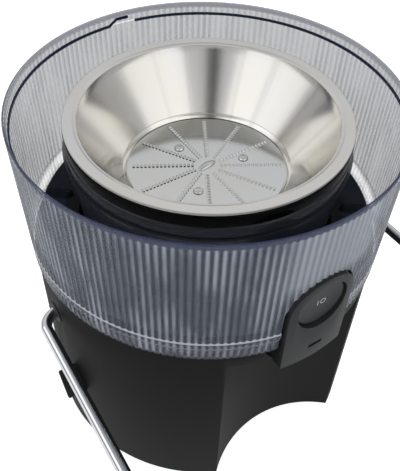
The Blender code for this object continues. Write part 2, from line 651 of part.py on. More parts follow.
def make_motor_frame(zinc, steel, copper, carbon, black):
    """The motor's standing parts."""
    seat_in = BEARING_R + SEAT_GAP
    seat_out = seat_in + BEARING_SEAT_T
    for name, plate_z, bearing_z in (
        ("lower", LOWER_BRACKET_Z, LOWER_BRACKET_Z - SEAT_GAP - BEARING_H),
        ("upper", UPPER_BRACKET_Z, UPPER_BRACKET_Z + BRACKET_T + SEAT_GAP),
    ):
        seat_end = bearing_z if bearing_z < plate_z else bearing_z + BEARING_H
        plate_far = plate_z + BRACKET_T if bearing_z < plate_z else plate_z
        plate_near = plate_z if bearing_z < plate_z else plate_z + BRACKET_T
        outline = [
            (SHAFT_R + 2 * MM, plate_far), (BRACKET_R, plate_far), (BRACKET_R, plate_near), (seat_out, plate_near),
            (seat_out, seat_end), (seat_in, seat_end), (seat_in, plate_near), (SHAFT_R + 2 * MM, plate_near),
        ]
        bracket = turned(f"{name}_bracket", outline, zinc, MID_ROUND)
        ring(f"{name}_bearing", SHAFT_R + SEAT_GAP, BEARING_R, bearing_z, bearing_z + BEARING_H, steel, SMALL_ROUND)
        if name == "lower":
            for number in range(4):
                centre = on_ring(BRACKET_POST_RING_R, 45 + 90 * number)
                post_low = COVER_UP + COVER_T + SEAT_GAP
                post = rod(f"bracket_post_{number + 1}", BRACKET_POST_R, post_low, UPPER_BRACKET_Z - SEAT_GAP,
                           centre=centre, steps=12)
                fuse(bracket, post)

    top = STATOR_BOTTOM_Z + STATOR_H
    ring("motor_stator", ARMATURE_R + RUNNING_GAP, STATOR_R, STATOR_BOTTOM_Z, top, zinc, MID_ROUND)
    for name, bottom in (
        ("lower_winding", STATOR_BOTTOM_Z - SEAT_GAP - WINDING_H), ("upper_winding", top + SEAT_GAP),
    ):
        edge = 2 * MM
        turned(name, [
            (WINDING_OUT_R, bottom + WINDING_H - edge), (WINDING_OUT_R, bottom + edge),
            (WINDING_OUT_R - edge, bottom), (WINDING_IN_R + edge, bottom), (WINDING_IN_R, bottom + edge),
            (WINDING_IN_R, bottom + WINDING_H - edge), (WINDING_IN_R + edge, bottom + WINDING_H),
            (WINDING_OUT_R - edge, bottom + WINDING_H),
        ], copper, MID_ROUND)
    brush_z = top + WINDING_H + 3.5 * MM
    for side, sign in (("left", -1), ("right", 1)):
        near, far = COMMUTATOR_R + SEAT_GAP, COMMUTATOR_R + BRUSH_L
        low_x, high_x = sorted((sign * near, sign * far))
        block(f"brush_{side}", (low_x, -BRUSH_W / 2, brush_z), (high_x, BRUSH_W / 2, brush_z + BRUSH_W), carbon)
    ring("shaft_seal", SHAFT_R + 0.4 * MM, SHAFT_R + 9 * MM - SEAT_GAP, WELL_Z - DECK_T, WELL_Z, black, SMALL_ROUND)


def make_rotor(steel, copper, black):
    """Shaft and what turns on it."""
    rod("motor_shaft", SHAFT_R, SHAFT_BOTTOM_Z, SHAFT_TOP_Z, steel)
    bore = SHAFT_R + SEAT_GAP
    bottom = STATOR_BOTTOM_Z + (STATOR_H - ARMATURE_H) / 2
    armature = ring("armature", bore, ARMATURE_R, bottom, bottom + ARMATURE_H, steel, 3 * ARMATURE_SLOTS)
    for number in range(ARMATURE_SLOTS):
        slot = block(
            f"armature_slot_{number + 1}", (ARMATURE_R - 6 * MM, -1.2 * MM, bottom - MM),
            (ARMATURE_R + MM, 1.2 * MM, bottom + ARMATURE_H + MM),
        )
        slot.data.transform(Matrix.Rotation(math.tau * (number + 0.5) / ARMATURE_SLOTS, 4, "Z"))
        cut(armature, slot)
    low = STATOR_BOTTOM_Z + STATOR_H + WINDING_H + 2 * MM
    ring("commutator", bore, COMMUTATOR_R, low, low + COMMUTATOR_H, copper, SMALL_ROUND)

    fan = ring("cooling_fan", bore, FAN_R, FAN_Z, FAN_Z + 1.6 * MM, black, 4 * FAN_BLADES)
    fuse(fan, ring("fan_boss", bore, SHAFT_R + 4 * MM, FAN_Z + 0.8 * MM, FAN_Z + FAN_H, steps=2 * FAN_BLADES))
    for number in range(FAN_BLADES):
        blade = block(
            f"fan_blade_{number + 1}", (SHAFT_R + 10 * MM, -0.8 * MM, FAN_Z + 0.8 * MM),
            (FAN_R - MM, 0.8 * MM, FAN_Z + FAN_H),
        )
        blade.data.transform(Matrix.Rotation(math.tau * number / FAN_BLADES, 4, "Z"))
        fuse(fan, blade)

    coupling_low = WELL_Z + SEAT_GAP
    turned("drive_coupling", [
        (0, COUPLING_TOP_Z), (COUPLING_R - MM, COUPLING_TOP_Z), (COUPLING_R, COUPLING_TOP_Z - MM),
        (COUPLING_R, coupling_low), (bore, coupling_low), (bore, SHAFT_TOP_Z + SEAT_GAP),
        (0, SHAFT_TOP_Z + SEAT_GAP),
    ], black, SMALL_ROUND)


def rounded_path(corners, radii, steps=8):
    """A polyline through corners, with an arc of the given radius at each inner one."""
    path = [Vector(corners[0])]
    for before, at, after, radius in zip(corners, corners[1:], corners[2:], radii):
        at = Vector(at)
        inward, outward = (Vector(before) - at).normalized(), (Vector(after) - at).normalized()
        half = inward.angle(outward) / 2
        centre = at + (inward + outward).normalized() * radius / math.sin(half)
        start = at + inward * radius / math.tan(half) - centre
        end = at + outward * radius / math.tan(half) - centre
        turn = start.angle(end)
        for step in range(steps + 1):
            share = step / steps
            point = start * math.sin((1 - share) * turn) + end * math.sin(share * turn)
            path.append(centre + point / math.sin(turn))
    path.append(Vector(corners[-1]))
    return path


def make_bail(chrome, black, steel):
    """The U of chrome wire, lowered to the front. It is drawn about its pivot line."""
    reach = BAIL_LENGTH * math.cos(BAIL_DROOP)
    drop = BAIL_LENGTH * math.sin(BAIL_DROOP)
    far = BAIL_HALF_W + BAIL_SPREAD
    corners = [
        (-BAIL_END_X, 0, 0), (-BAIL_HALF_W, 0, 0), (-far, -reach, -drop),
        (far, -reach, -drop), (BAIL_HALF_W, 0, 0), (BAIL_END_X, 0, 0),
    ]
    path = rounded_path(corners, (BAIL_BEND_R, BAIL_CORNER_R, BAIL_CORNER_R, BAIL_BEND_R))
    wire = bpy.data.curves.new("bail", "CURVE")
    wire.dimensions = "3D"
    wire.bevel_depth = BAIL_WIRE_R
    wire.bevel_resolution = 2
    wire.use_fill_caps = True
    line = wire.splines.new("POLY")
    line.points.add(len(path) - 1)
    for point, place in zip(line.points, path):
        point.co = (*place, 1)
    wire.materials.append(chrome)
    bail = bpy.data.objects.new("bail", wire)
    bail.location = (0, 0, BAIL_PIVOT_Z)
    bpy.context.scene.collection.objects.link(bail)

    pivot = (0, 0, BAIL_PIVOT_Z)
    for side, sign in (("left", -1), ("right", 1)):
        bush = ring(f"pivot_bush_{side}", BAIL_WIRE_R + SEAT_GAP, BUSH_R, BUSH_IN_X, BUSH_OUT_X, black, SMALL_ROUND)
        shift(turn_to(bush, (sign, 0, 0)), pivot)
        clip_out = BUSH_IN_X - SEAT_GAP
        clip = ring(
            f"bail_clip_{side}", BAIL_WIRE_R + SEAT_GAP, CLIP_R, clip_out - CLIP_T, clip_out, steel, SMALL_ROUND,
        )
        set_origin(shift(turn_to(clip, (sign, 0, 0)), pivot), pivot)


def main():
    clear_scene()
    charcoal = material("charcoal plastic", (0.055, 0.058, 0.060), 0.42)
    grey = material("panel plastic", (0.095, 0.098, 0.098), 0.38)
    black = material("black plastic", (0.010, 0.010, 0.012), 0.25)
    deck_grey = material("deck plastic", (0.030, 0.032, 0.036), 0.45)
    smoke = material("clear plastic", (0.60, 0.64, 0.74), 0.08, alpha=0.35)
    steel = material("brushed steel", (0.78, 0.76, 0.71), 0.24, metallic=1.0)
    disc_steel = material("disc steel", (0.62, 0.63, 0.63), 0.34, metallic=1.0)
    chrome = material("chrome", (0.86, 0.87, 0.88), 0.06, metallic=1.0)
    zinc = material("zinc plate", (0.50, 0.51, 0.52), 0.50, metallic=1.0)
    copper = material("copper winding", (0.72, 0.35, 0.18), 0.35, metallic=1.0)
    carbon = material("carbon", (0.02, 0.02, 0.02), 0.80)
    rubber = material("rubber", (0.015, 0.015, 0.015), 0.85)
    lamp = material("lamp lens", (0.03, 0.03, 0.03), 0.15)

    make_housing(charcoal)
    make_cover(charcoal)
    make_feet_and_screws(rubber, zinc)
    make_gland(rubber)
    make_deck(deck_grey)
    make_panel(grey)
    make_controls(grey, black, lamp)
    make_tub(smoke)
    make_bowl(smoke, black)
    make_basket(steel, disc_steel, black)
    make_motor_frame(zinc, steel, copper, carbon, rubber)
    make_rotor(steel, copper, black)
    make_bail(chrome, black, zinc)


main()
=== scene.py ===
# %% [markdown]
# # A centrifugal juice extractor
# The machine is a round motor base with a clear pulp tub on top. A spun-steel basket with a flat grater disc
# turns inside a clear juice bowl, and a chrome wire bail is lowered to the front. The imported model gives
# every size and place, so the first step loads it and keeps its box.

# %% Load the frame
import math

import bpy
from mathutils import Matrix, Vector


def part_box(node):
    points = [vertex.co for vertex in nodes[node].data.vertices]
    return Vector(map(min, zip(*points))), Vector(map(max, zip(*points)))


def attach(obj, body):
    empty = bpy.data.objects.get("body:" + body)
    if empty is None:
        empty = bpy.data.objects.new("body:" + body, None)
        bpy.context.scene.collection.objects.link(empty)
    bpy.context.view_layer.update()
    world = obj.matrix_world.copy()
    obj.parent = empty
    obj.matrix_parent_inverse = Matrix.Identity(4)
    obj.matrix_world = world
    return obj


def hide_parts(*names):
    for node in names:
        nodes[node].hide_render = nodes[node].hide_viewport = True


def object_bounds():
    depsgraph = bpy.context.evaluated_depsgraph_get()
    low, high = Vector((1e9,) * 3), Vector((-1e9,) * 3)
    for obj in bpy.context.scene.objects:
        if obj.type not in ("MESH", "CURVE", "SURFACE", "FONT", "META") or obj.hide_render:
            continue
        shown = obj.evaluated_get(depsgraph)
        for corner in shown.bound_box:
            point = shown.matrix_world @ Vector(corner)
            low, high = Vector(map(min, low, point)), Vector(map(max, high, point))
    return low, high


MM = 0.001
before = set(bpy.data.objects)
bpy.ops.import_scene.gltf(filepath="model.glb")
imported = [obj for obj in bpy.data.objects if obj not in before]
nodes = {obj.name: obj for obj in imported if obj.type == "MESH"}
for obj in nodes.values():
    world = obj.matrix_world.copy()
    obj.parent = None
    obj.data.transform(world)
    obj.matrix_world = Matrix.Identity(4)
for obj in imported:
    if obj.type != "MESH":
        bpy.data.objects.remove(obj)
cad_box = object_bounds()

# %% [markdown]
# ## Camera
# A camera is three turns and a place. It looks down at 46 degrees from the front left, close enough for the
# tub to fill the frame, and is rolled by two degrees. Turning it with matrices keeps the order of the turns
# plain: first the roll about its own axis, then the tilt, then the heading.

# %% Camera
CAMERA_AT = Vector((-0.1571, -0.2242, 0.3930))
HEADING = math.radians(34.5)
LOOK_DOWN = math.radians(46.01)
ROLL = math.radians(1.95)
LENS_MM = 50.39

bpy.ops.object.camera_add()
camera = bpy.context.object
turn = Matrix.Rotation(-HEADING, 4, "Z") @ Matrix.Rotation(math.pi / 2 - LOOK_DOWN, 4, "X")
camera.matrix_world = Matrix.Translation(CAMERA_AT) @ turn @ Matrix.Rotation(ROLL, 4, "Z")
camera.data.lens = LENS_MM
camera.data.clip_start = 0.01
bpy.context.scene.camera = camera
bpy.context.scene.view_settings.view_transform = "Standard"
print("camera at", [round(value, 3) for value in camera.location])

# %% [markdown]
# ## Shader maths
# Finishes are built from nodes. Writing each Math node by hand hides the idea, so a small class wraps an
# output socket and lets Python's own operators add the nodes. Colours go through a Mix node, because a Math
# node would turn them grey.

# %% Sockets and finishes
class Value:
    """An output socket. Arithmetic on it adds Math nodes."""

    def __init__(self, finish, socket):
        self.finish = finish
        self.socket = socket

    def __add__(self, other):
        return self.finish.maths("ADD", self, other)

    def __sub__(self, other):
        return self.finish.maths("SUBTRACT", self, other)

    def __rsub__(self, other):
        return self.finish.maths("SUBTRACT", other, self)

    def __mul__(self, other):
        return self.finish.maths("MULTIPLY", self, other)

    __radd__ = __add__
    __rmul__ = __mul__


class Finish:
    """A material while its nodes are being wired."""

    def __init__(self, name):
        self.material = bpy.data.materials.new(name)
        self.material.use_nodes = True
        self.tree = self.material.node_tree
        self.shader = self.tree.nodes["Principled BSDF"]
        self.place = self.node("ShaderNodeTexCoord", output="Object")

    def feed(self, socket, value):
        if isinstance(value, Value):
            self.tree.links.new(value.socket, socket)
        elif socket.type == "RGBA" and len(value) == 3:
            socket.default_value = (*value, 1)
        else:
            socket.default_value = value

    def node(self, kind, settings=None, values=None, output=0):
        """Adds one node: its settings first, then the values or links of its sockets."""
        made = self.tree.nodes.new(kind)
        for name, setting in (settings or {}).items():
            setattr(made, name, setting)
        for name, value in (values or {}).items():
            self.feed(made.inputs[name], value)
        return Value(self, made.outputs[output])

    def maths(self, operation, *values):
        return self.node("ShaderNodeMath", {"operation": operation}, dict(enumerate(values)))

    def blend(self, factor, first, second):
        """Goes from one colour to another as the factor goes from 0 to 1."""
        settings = {"data_type": "RGBA"}
        return self.node("ShaderNodeMix", settings, {0: factor, 6: first, 7: second}, output=2)

    def noise(self, scale, detail=2.0, stretch=(1, 1, 1)):
        """Noise from 0 to 1 on the piece's own coordinates, with grains about 1/scale metres across."""
        vector = self.node(
            "ShaderNodeVectorMath", {"operation": "MULTIPLY"}, {0: self.place, 1: stretch}
        )
        return self.node("ShaderNodeTexNoise", None, {"Vector": vector, "Scale": scale, "Detail": detail})

    def ramp(self, value, low, high):
        """0 below low, 1 above high, smooth between."""
        settings = {"interpolation_type": "SMOOTHSTEP"}
        return self.node("ShaderNodeMapRange", settings, {"Value": value, "From Min": low, "From Max": high})

    def band(self, value, low, high, soft=0.3 * MM):
        """1 between low and high, 0 outside, with soft ends."""
        return self.ramp(value, low - soft, low + soft) * (1 - self.ramp(value, high - soft, high + soft))

    def parts(self, vector):
        """The three numbers of a vector."""
        split = self.node("ShaderNodeSeparateXYZ", None, {0: vector}).socket.node
        return [Value(self, output) for output in split.outputs]

    def axes(self):
        """Height, and distance from the spin axis, in metres."""
        x, y, z = self.parts(self.place)
        return z, self.maths("SQRT", x * x + y * y)

    def bump(self, height, depth, strength=1.0):
        values = {"Height": height, "Distance": depth, "Strength": strength}
        normal = self.node("ShaderNodeBump", None, values)
        self.feed(self.shader.inputs["Normal"], normal)

    def set(self, **values):
        """Sets sockets of the shader; underscores stand for spaces."""
        for name, value in values.items():
            self.feed(self.shader.inputs[name.replace("_", " ")], value)
        return self.material


print("finish helpers ready")

# %% [markdown]
# ## Moulded plastics
# A moulded part is never one flat colour. Its tool leaves a fine grain, the flow of the plastic changes the
# gloss a little from place to place, and handling adds faint smears. One function makes all of these, and
# each plastic has its own colour, gloss and grain size.

# %% Plastics
GRAIN_PER_M = 2600
SMEAR_PER_M = 22


def moulded(name, colour, roughness, grain_depth=0.00002, spread=0.06, coat=0.0, gloss=0.25):
    finish = Finish(name)
    grain = finish.noise(GRAIN_PER_M, 3)
    smear = finish.noise(SMEAR_PER_M, 4)
    lighter = [min(1.0, channel * 1.25 + 0.003) for channel in colour]
    darker = [channel * 0.82 for channel in colour]
    finish.bump(grain, grain_depth, 0.5)
    return finish.set(
        Base_Color=finish.blend(smear * 0.8 + grain * 0.2, darker, lighter),
        Roughness=roughness + spread * (smear - 0.5),
        Specular_IOR_Level=gloss,
        Coat_Weight=coat,
        Coat_Roughness=0.08,
    )


charcoal = moulded("charcoal_plastic", (0.0064, 0.0067, 0.0070), 0.52, gloss=0.10)
panel_grey = moulded("panel_plastic", (0.026, 0.028, 0.029), 0.45, gloss=0.18)
button_grey = moulded("button_plastic", (0.035, 0.037, 0.039), 0.42, gloss=0.20)
gloss_black = moulded("gloss_black_plastic", (0.001, 0.001, 0.001), 0.16, 0.000002, 0.02, gloss=0.07)
lug_black_and_side_shade = moulded("lug_plastic", (0.008, 0.008, 0.009), 0.42)
deck_grey = moulded("deck_plastic", (0.008, 0.009, 0.012), 0.40, 0.00001, gloss=0.16)
bush_black = moulded("bush_plastic", (0.020, 0.020, 0.022), 0.50)
rubber = moulded("foot_rubber", (0.016, 0.016, 0.016), 0.78, 0.00005, 0.10)
carbon = moulded("brush_carbon", (0.022, 0.022, 0.022), 0.55, 0.00006, 0.15)
mark_white = moulded("mark_paint", (0.62, 0.63, 0.64), 0.5)
lens_smoke = moulded("lamp_lens", (0.002, 0.002, 0.002), 0.35, 0.000002, 0.02, gloss=0.08)
print("plastics:", charcoal.name, panel_grey.name, gloss_black.name)

# %% [markdown]
# ## Clear plastic
# The tub, the bowl and the spout are clear plastic with a cool cast. Real refraction would be slow to render
# and is lost in an export, so the wall is a thin glossy skin that lets most of what is behind it through.
# It closes up where the wall is seen edge on, as real plastic does, and the tub's top edge turns navy,
# because light that has travelled along the wall comes out there.

# %% Clear plastic
RIBS = 180
STREAK_RISE = 3.0
TUB_FOOT_R = 97.9 * MM
tub_low_corner, tub_high_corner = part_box("pulp_tub")
TUB_R = tub_high_corner.x
tub_foot, tub_top = tub_low_corner.z, tub_high_corner.z
TUB_LEAN = (TUB_R - TUB_FOOT_R) / (tub_top - tub_foot)
SKIN = 1.0 * MM
FLOOR_UP = 12.5 * MM
PLAIN_RIM_H = 3.4 * MM
# Rib colours are painted light: a painted highlight on each crest and painted shade in each valley.
RIB_VALLEY_SHADE, RIB_CREST_HIGHLIGHT = (0.085, 0.105, 0.145), (0.60, 0.65, 0.74)
INNER_SKIN = (0.072, 0.110, 0.160)
RIM_BLUE = (0.09, 0.11, 0.20)
# Colour of the painted highlights on the two steps of the tub's lower band.
LEDGE_HIGHLIGHT_WHITE = (0.80, 0.84, 0.92)
EDGE_NAVY = (0.030, 0.040, 0.11)
EDGE_ON_BLUE = (0.05, 0.075, 0.13)
# Colour of the painted shadow line where the tub's foot meets the base.
FOOT_SHADOW_BLUE = (0.03, 0.035, 0.06)


def clear_plastic(name, tint):
    """A thin skin that shows a little of itself, and more of itself where it is seen edge on."""
    finish = Finish(name)
    cloud = finish.noise(9, 2)
    facing = finish.node("ShaderNodeLayerWeight", None, {"Blend": 0.35}, output="Facing")
    return finish.set(
        Base_Color=finish.blend(cloud, [channel * 0.5 for channel in tint], tint),
        Alpha=0.50 + 0.20 * cloud + 0.25 * finish.ramp(facing, 0.25, 0.95),
        Roughness=0.10 + 0.05 * cloud,
        IOR=1.49,
    )


def ribbed_plastic(name):
    """The tub's plastic. Only its outer skin has the rib pattern, with a painted highlight on each rib's top,
    painted shade between them and wide painted bands of light.
    """
    finish = Finish(name)
    x, y, height = finish.parts(finish.place)
    turn = finish.maths("ARCTAN2", y, x)
    radius = finish.maths("SQRT", x * x + y * y) - (height - tub_foot) * TUB_LEAN
    normal = finish.node("ShaderNodeNewGeometry", output="Normal")
    up = finish.parts(normal)[2]
    level = finish.ramp(finish.maths("ABSOLUTE", up), 0.3, 0.7)
    outer = finish.ramp(radius, TUB_FOOT_R - 1.1 * SKIN, TUB_FOOT_R - 0.9 * SKIN) * (1 - level)
    wave = finish.maths("COSINE", turn * RIBS) * 0.5 + 0.5
    round_place = finish.node(
        "ShaderNodeCombineXYZ", None,
        {0: finish.maths("COSINE", turn), 1: finish.maths("SINE", turn), 2: height * STREAK_RISE},
    )
    streak = finish.node("ShaderNodeTexNoise", None, {"Vector": round_place, "Scale": 7.0, "Detail": 2.0})
    # Wide bands of painted light along the ribs, from a noise that runs round the tub.
    streak_light = finish.ramp(streak, 0.34, 0.64)
    # A painted sheen on the front right of the tub, where the ribs catch the light.
    painted_sheen = finish.band(x, -26 * MM, 30 * MM, 12 * MM) * finish.ramp(y * -1.0, 60 * MM, 80 * MM)
    painted_sheen = painted_sheen * finish.ramp(height, 158 * MM, 174 * MM)
    facing = finish.node("ShaderNodeLayerWeight", None, {"Blend": 0.35}, output="Facing")
    floor_line = tub_foot + FLOOR_UP
    # Two thin painted highlights, where light catches the steps of the lower band.
    ledge_highlight = finish.maths(
        "MAXIMUM",
        finish.band(height, floor_line - 0.6 * MM, floor_line + 0.7 * MM),
        finish.band(height, floor_line - 4.6 * MM, floor_line - 3.8 * MM, 0.2 * MM) * 0.7,
    ) * outer
    # A painted highlight on the tops of the ribs, just under the plain rim.
    rib_top_highlight = finish.band(height, tub_top - 6.4 * MM, tub_top - 4.2 * MM, 0.5 * MM) * wave * outer * 0.6
    rim = finish.ramp(height, tub_top - PLAIN_RIM_H, tub_top - 2.8 * MM)
    # Painted highlight and shade on the ribs, stronger inside the painted bands of light.
    rib_shading = wave * (streak_light * 0.65 + 0.35) * outer * (1 - rim)
    # shown gathers the painted highlights, shade and sheen of the ribs, for both the colour and the alpha.
    shown = finish.maths("MAXIMUM", rib_shading, rib_top_highlight)
    shown = finish.maths("MAXIMUM", shown, painted_sheen * (0.65 + 0.55 * wave) * outer * (1 - rim))
    lit_ribs = finish.blend(shown, RIB_VALLEY_SHADE, RIB_CREST_HIGHLIGHT)
    colour = finish.blend(outer, INNER_SKIN, lit_ribs)
    colour = finish.blend(rim, colour, RIM_BLUE)
    colour = finish.blend(ledge_highlight, colour, LEDGE_HIGHLIGHT_WHITE)
    edge = finish.ramp(up, 0.6, 0.9) * rim
    colour = finish.blend(edge, colour, EDGE_NAVY)
    colour = finish.blend(finish.ramp(facing, 0.6, 0.95) * outer * 0.8, colour, EDGE_ON_BLUE)
    # foot here is a dark painted shadow line at the tub's foot, where it sits on the base.
    foot = (1 - finish.ramp(height, tub_foot + 0.5 * MM, tub_foot + 1.3 * MM)) * outer
    colour = finish.blend(foot, colour, FOOT_SHADOW_BLUE)
    wall = (1 - level) * finish.ramp(radius, TUB_FOOT_R - 4 * SKIN, TUB_FOOT_R - 3.5 * SKIN)
    see_through = 0.08 + 0.36 * wall - 0.10 * outer + outer * 0.28 * shown
    see_through = see_through + 0.25 * finish.ramp(facing, 0.25, 0.95) * (0.3 + 0.7 * outer)
    solid = finish.maths("MAXIMUM", finish.maths("MAXIMUM", ledge_highlight * 0.7, edge * 0.85), foot * 0.7)
    return finish.set(
        Base_Color=colour,
        Alpha=finish.maths("MAXIMUM", finish.maths("MINIMUM", see_through + rim * 0.2, 1.0), solid),
        Roughness=0.07 + 0.06 * streak,
        IOR=1.49,
    )


clear_tub = ribbed_plastic("clear_tub_plastic")
clear_bowl = clear_plastic("clear_bowl_plastic", (0.060, 0.068, 0.090))
# The ledge's dark navy is painted shade: the shade its edge shows through the clear wall.
ledge_shade_navy = moulded("ledge_painted_shade", (0.015, 0.022, 0.060), 0.2, 0.000002, 0.02)
print("clear plastics:", clear_tub.name, clear_bowl.name)

# %% [markdown]
# ## Metals
# The basket is spun on a lathe, so its scratches run round it. Fine lines that depend only on height and
# radius give that grain, and a constant anisotropy stretches every highlight across them. The disc is
# stamped from rolled sheet and stays duller. Chrome is a mirror with almost nothing on it.

# %% Metals
def spun_steel(name, colour, roughness, anisotropy, lines_per_m, line_depth, reflection_streaks=0.0):
    finish = Finish(name)
    height, radius = finish.axes()
    across = finish.node("ShaderNodeCombineXYZ", None, {0: radius * lines_per_m, 2: height * lines_per_m})
    lines = finish.node("ShaderNodeTexNoise", None, {"Vector": across, "Scale": 1.0, "Detail": 3.0})
    cloud = finish.noise(28, 3)
    finish.bump(lines, line_depth, 0.35)
    warm = (colour[0], colour[1] * 0.985, colour[2] * 0.93)
    x, y, _ = finish.parts(finish.place)
    turn = finish.maths("ARCTAN2", y, x)
    # Dark radial streaks are painted into the colour: painted reflections of darker parts of the room.
    rays = finish.node(
        "ShaderNodeCombineXYZ", None, {0: finish.maths("COSINE", turn), 1: finish.maths("SINE", turn)}
    )
    streak_pattern = finish.node("ShaderNodeTexNoise", None, {"Vector": rays, "Scale": 6.0, "Detail": 4.0})
    streak_shade = [channel * (1 - reflection_streaks) for channel in colour]
    tone = finish.blend(finish.ramp(cloud, 0.35, 0.7), colour, warm)
    return finish.set(
        Base_Color=finish.blend(finish.ramp(streak_pattern, 0.5, 0.75), tone, streak_shade),
        Metallic=1.0,
        Roughness=roughness + 0.08 * (lines - 0.5) + 0.05 * (cloud - 0.5),
        Anisotropic=anisotropy,
    )


def plain_metal(name, colour, roughness, grain_per_m=900, depth=0.00001, spread=0.1, stretch=(1, 1, 1)):
    finish = Finish(name)
    grain = finish.noise(grain_per_m, 3, stretch)
    cloud = finish.noise(40, 2)
    finish.bump(grain, depth, 0.4)
    return finish.set(
        Base_Color=finish.blend(cloud, [channel * 0.88 for channel in colour], colour),
        Metallic=1.0,
        Roughness=roughness + spread * (grain - 0.5),
    )


# The basket's cone gets painted dark reflection streaks, set by the last number.
basket_steel = spun_steel("basket_steel", (0.80, 0.79, 0.765), 0.16, 0.7, 2400, 0.00001, 0.25)
rim_steel = spun_steel("rim_steel", (0.93, 0.925, 0.90), 0.34, 0.3, 2400, 0.000006)
disc_steel = spun_steel("disc_steel", (0.78, 0.795, 0.79), 0.13, 0.0, 900, 0.000002)
tooth_steel = plain_metal("tooth_steel", (0.92, 0.92, 0.90), 0.28, spread=0.05)
rivet_steel = plain_metal("rivet_steel", (0.86, 0.86, 0.83), 0.32, spread=0.05)
chrome = plain_metal("chrome_wire", (0.90, 0.91, 0.93), 0.05, 60, 0.000002, 0.02)
zinc = plain_metal("zinc_plate", (0.56, 0.57, 0.58), 0.42, 500, 0.00002)
ground_steel = plain_metal("ground_steel", (0.56, 0.56, 0.57), 0.24, 300, 0.00001, 0.1, (1, 1, 12))
laminations = plain_metal("laminations", (0.24, 0.24, 0.25), 0.5, 60, 0.0001, 0.2, (1, 1, 30))
copper = plain_metal("copper_wire", (0.72, 0.36, 0.20), 0.35, 120, 0.0002, 0.1, (1, 1, 9))
# Painted shade for the teeth's mouths, standing in for the dark holes under them.
tooth_hole_shade = moulded("tooth_mouth_shade", (0.05, 0.048, 0.042), 0.6)
print("metals:", basket_steel.name, disc_steel.name, chrome.name)

# %% [markdown]
# ## Hand tools
# Every piece below is made with the same few moves: add a primitive with nothing else selected, pick faces
# or vertices by their place, extrude, spin, scale, and cut one shape with another. These helpers are those
# moves. A round part starts as one vertex that is extruded along half of its section and then spun.

# %% Starting and picking
def start(add, name, **settings):
    """Adds a primitive with nothing else selected, and puts its place into its mesh."""
    bpy.ops.object.select_all(action="DESELECT")
    add(**settings)
    made = bpy.context.object
    made.name = made.data.name = name
    bpy.ops.object.transform_apply(location=True, rotation=True, scale=True)
    return made


def make_active(piece):
    if bpy.context.object and bpy.context.object.mode == "EDIT":
        bpy.ops.object.mode_set(mode="OBJECT")
    bpy.ops.object.select_all(action="DESELECT")
    piece.select_set(True)
    bpy.context.view_layer.objects.active = piece


def pick(piece, domain, test):
    """Selects in edit mode the vertices or faces that pass a test on place and normal."""
    make_active(piece)
    bpy.ops.object.mode_set(mode="EDIT")
    bpy.ops.mesh.select_mode(type=domain)
    bpy.ops.mesh.select_all(action="DESELECT")
    bpy.ops.object.mode_set(mode="OBJECT")
    if domain == "VERT":
        for vertex in piece.data.vertices:
            vertex.select = test(vertex.co)
    else:
        for face in piece.data.polygons:
            face.select = test(face.center, face.normal)
    bpy.ops.object.mode_set(mode="EDIT")


def close_up(inside=False):
    """Merges doubles, turns faces outwards and leaves edit mode."""
    bpy.ops.mesh.select_all(action="SELECT")
    bpy.ops.mesh.remove_doubles(threshold=0.002 * MM)
    bpy.ops.mesh.normals_make_consistent(inside=inside)
    bpy.ops.object.mode_set(mode="OBJECT")


def extrude(by):
    bpy.ops.mesh.extrude_region_move(TRANSFORM_OT_translate={"value": by})


def shift(piece, by):
    """Moves a whole piece inside its own mesh."""
    pick(piece, "VERT", lambda place: True)
    bpy.ops.transform.translate(value=by)
    bpy.ops.object.mode_set(mode="OBJECT")


def swing(piece, angle, axis):
    """Turns a whole piece about the origin, inside its own mesh."""
    pick(piece, "VERT", lambda place: True)
    bpy.ops.transform.rotate(value=angle, orient_axis=axis, center_override=(0, 0, 0))
    bpy.ops.object.mode_set(mode="OBJECT")


print("tools to start, pick, move and turn are ready")

# %% Lines and simple shapes
def draw_line(name, points, closed=True):
    """One vertex, extruded from point to point. Edit mode stays on, with all of the line selected."""
    made = start(bpy.ops.mesh.primitive_plane_add, name, size=MM)
    bpy.ops.object.mode_set(mode="EDIT")
    bpy.ops.mesh.select_all(action="SELECT")
    bpy.ops.mesh.merge(type="CENTER")
    bpy.ops.transform.translate(value=points[0])
    path = [Vector(point) for point in points]
    if closed:
        path.append(path[0])
    for here, there in zip(path, path[1:]):
        extrude(there - here)
    bpy.ops.mesh.select_all(action="SELECT")
    bpy.ops.mesh.remove_doubles(threshold=0.002 * MM)
    return made


FULL_TURN = 2 * math.pi
ROUND = 192


def turned(name, section, steps=ROUND, closed=True):
    """Spins a half section, given as (radius, height), once round Z."""
    made = draw_line(name, [(radius, 0, height) for radius, height in section], closed)
    bpy.ops.mesh.spin(steps=steps, angle=FULL_TURN, center=(0, 0, 0), axis=(0, 0, 1))
    close_up()
    return made


def slab(name, outline, along):
    """Fills a flat outline and extrudes it."""
    made = draw_line(name, outline)
    bpy.ops.mesh.edge_face_add()
    extrude(along)
    close_up()
    return made


def block(name, low, high):
    """A cube grown to a box between two corners."""
    low, high = Vector(low), Vector(high)
    return start(
        bpy.ops.mesh.primitive_cube_add, name, size=1, location=(low + high) / 2, scale=high - low
    )


def cylinder(name, radius, ends, axis="Z", centre=(0, 0, 0), sides=96):
    """A cylinder between two places along an axis."""
    middle = sum(ends) / 2
    place = {"Z": (0, 0, middle), "Y": (0, middle, 0), "X": (middle, 0, 0)}[axis]
    lie = {"Z": (0, 0, 0), "Y": (math.pi / 2, 0, 0), "X": (0, math.pi / 2, 0)}[axis]
    return start(
        bpy.ops.mesh.primitive_cylinder_add, name, vertices=sides, radius=radius, depth=ends[1] - ends[0],
        location=Vector(centre) + Vector(place), rotation=lie,
    )


print(f"a turned part has {ROUND} steps round")

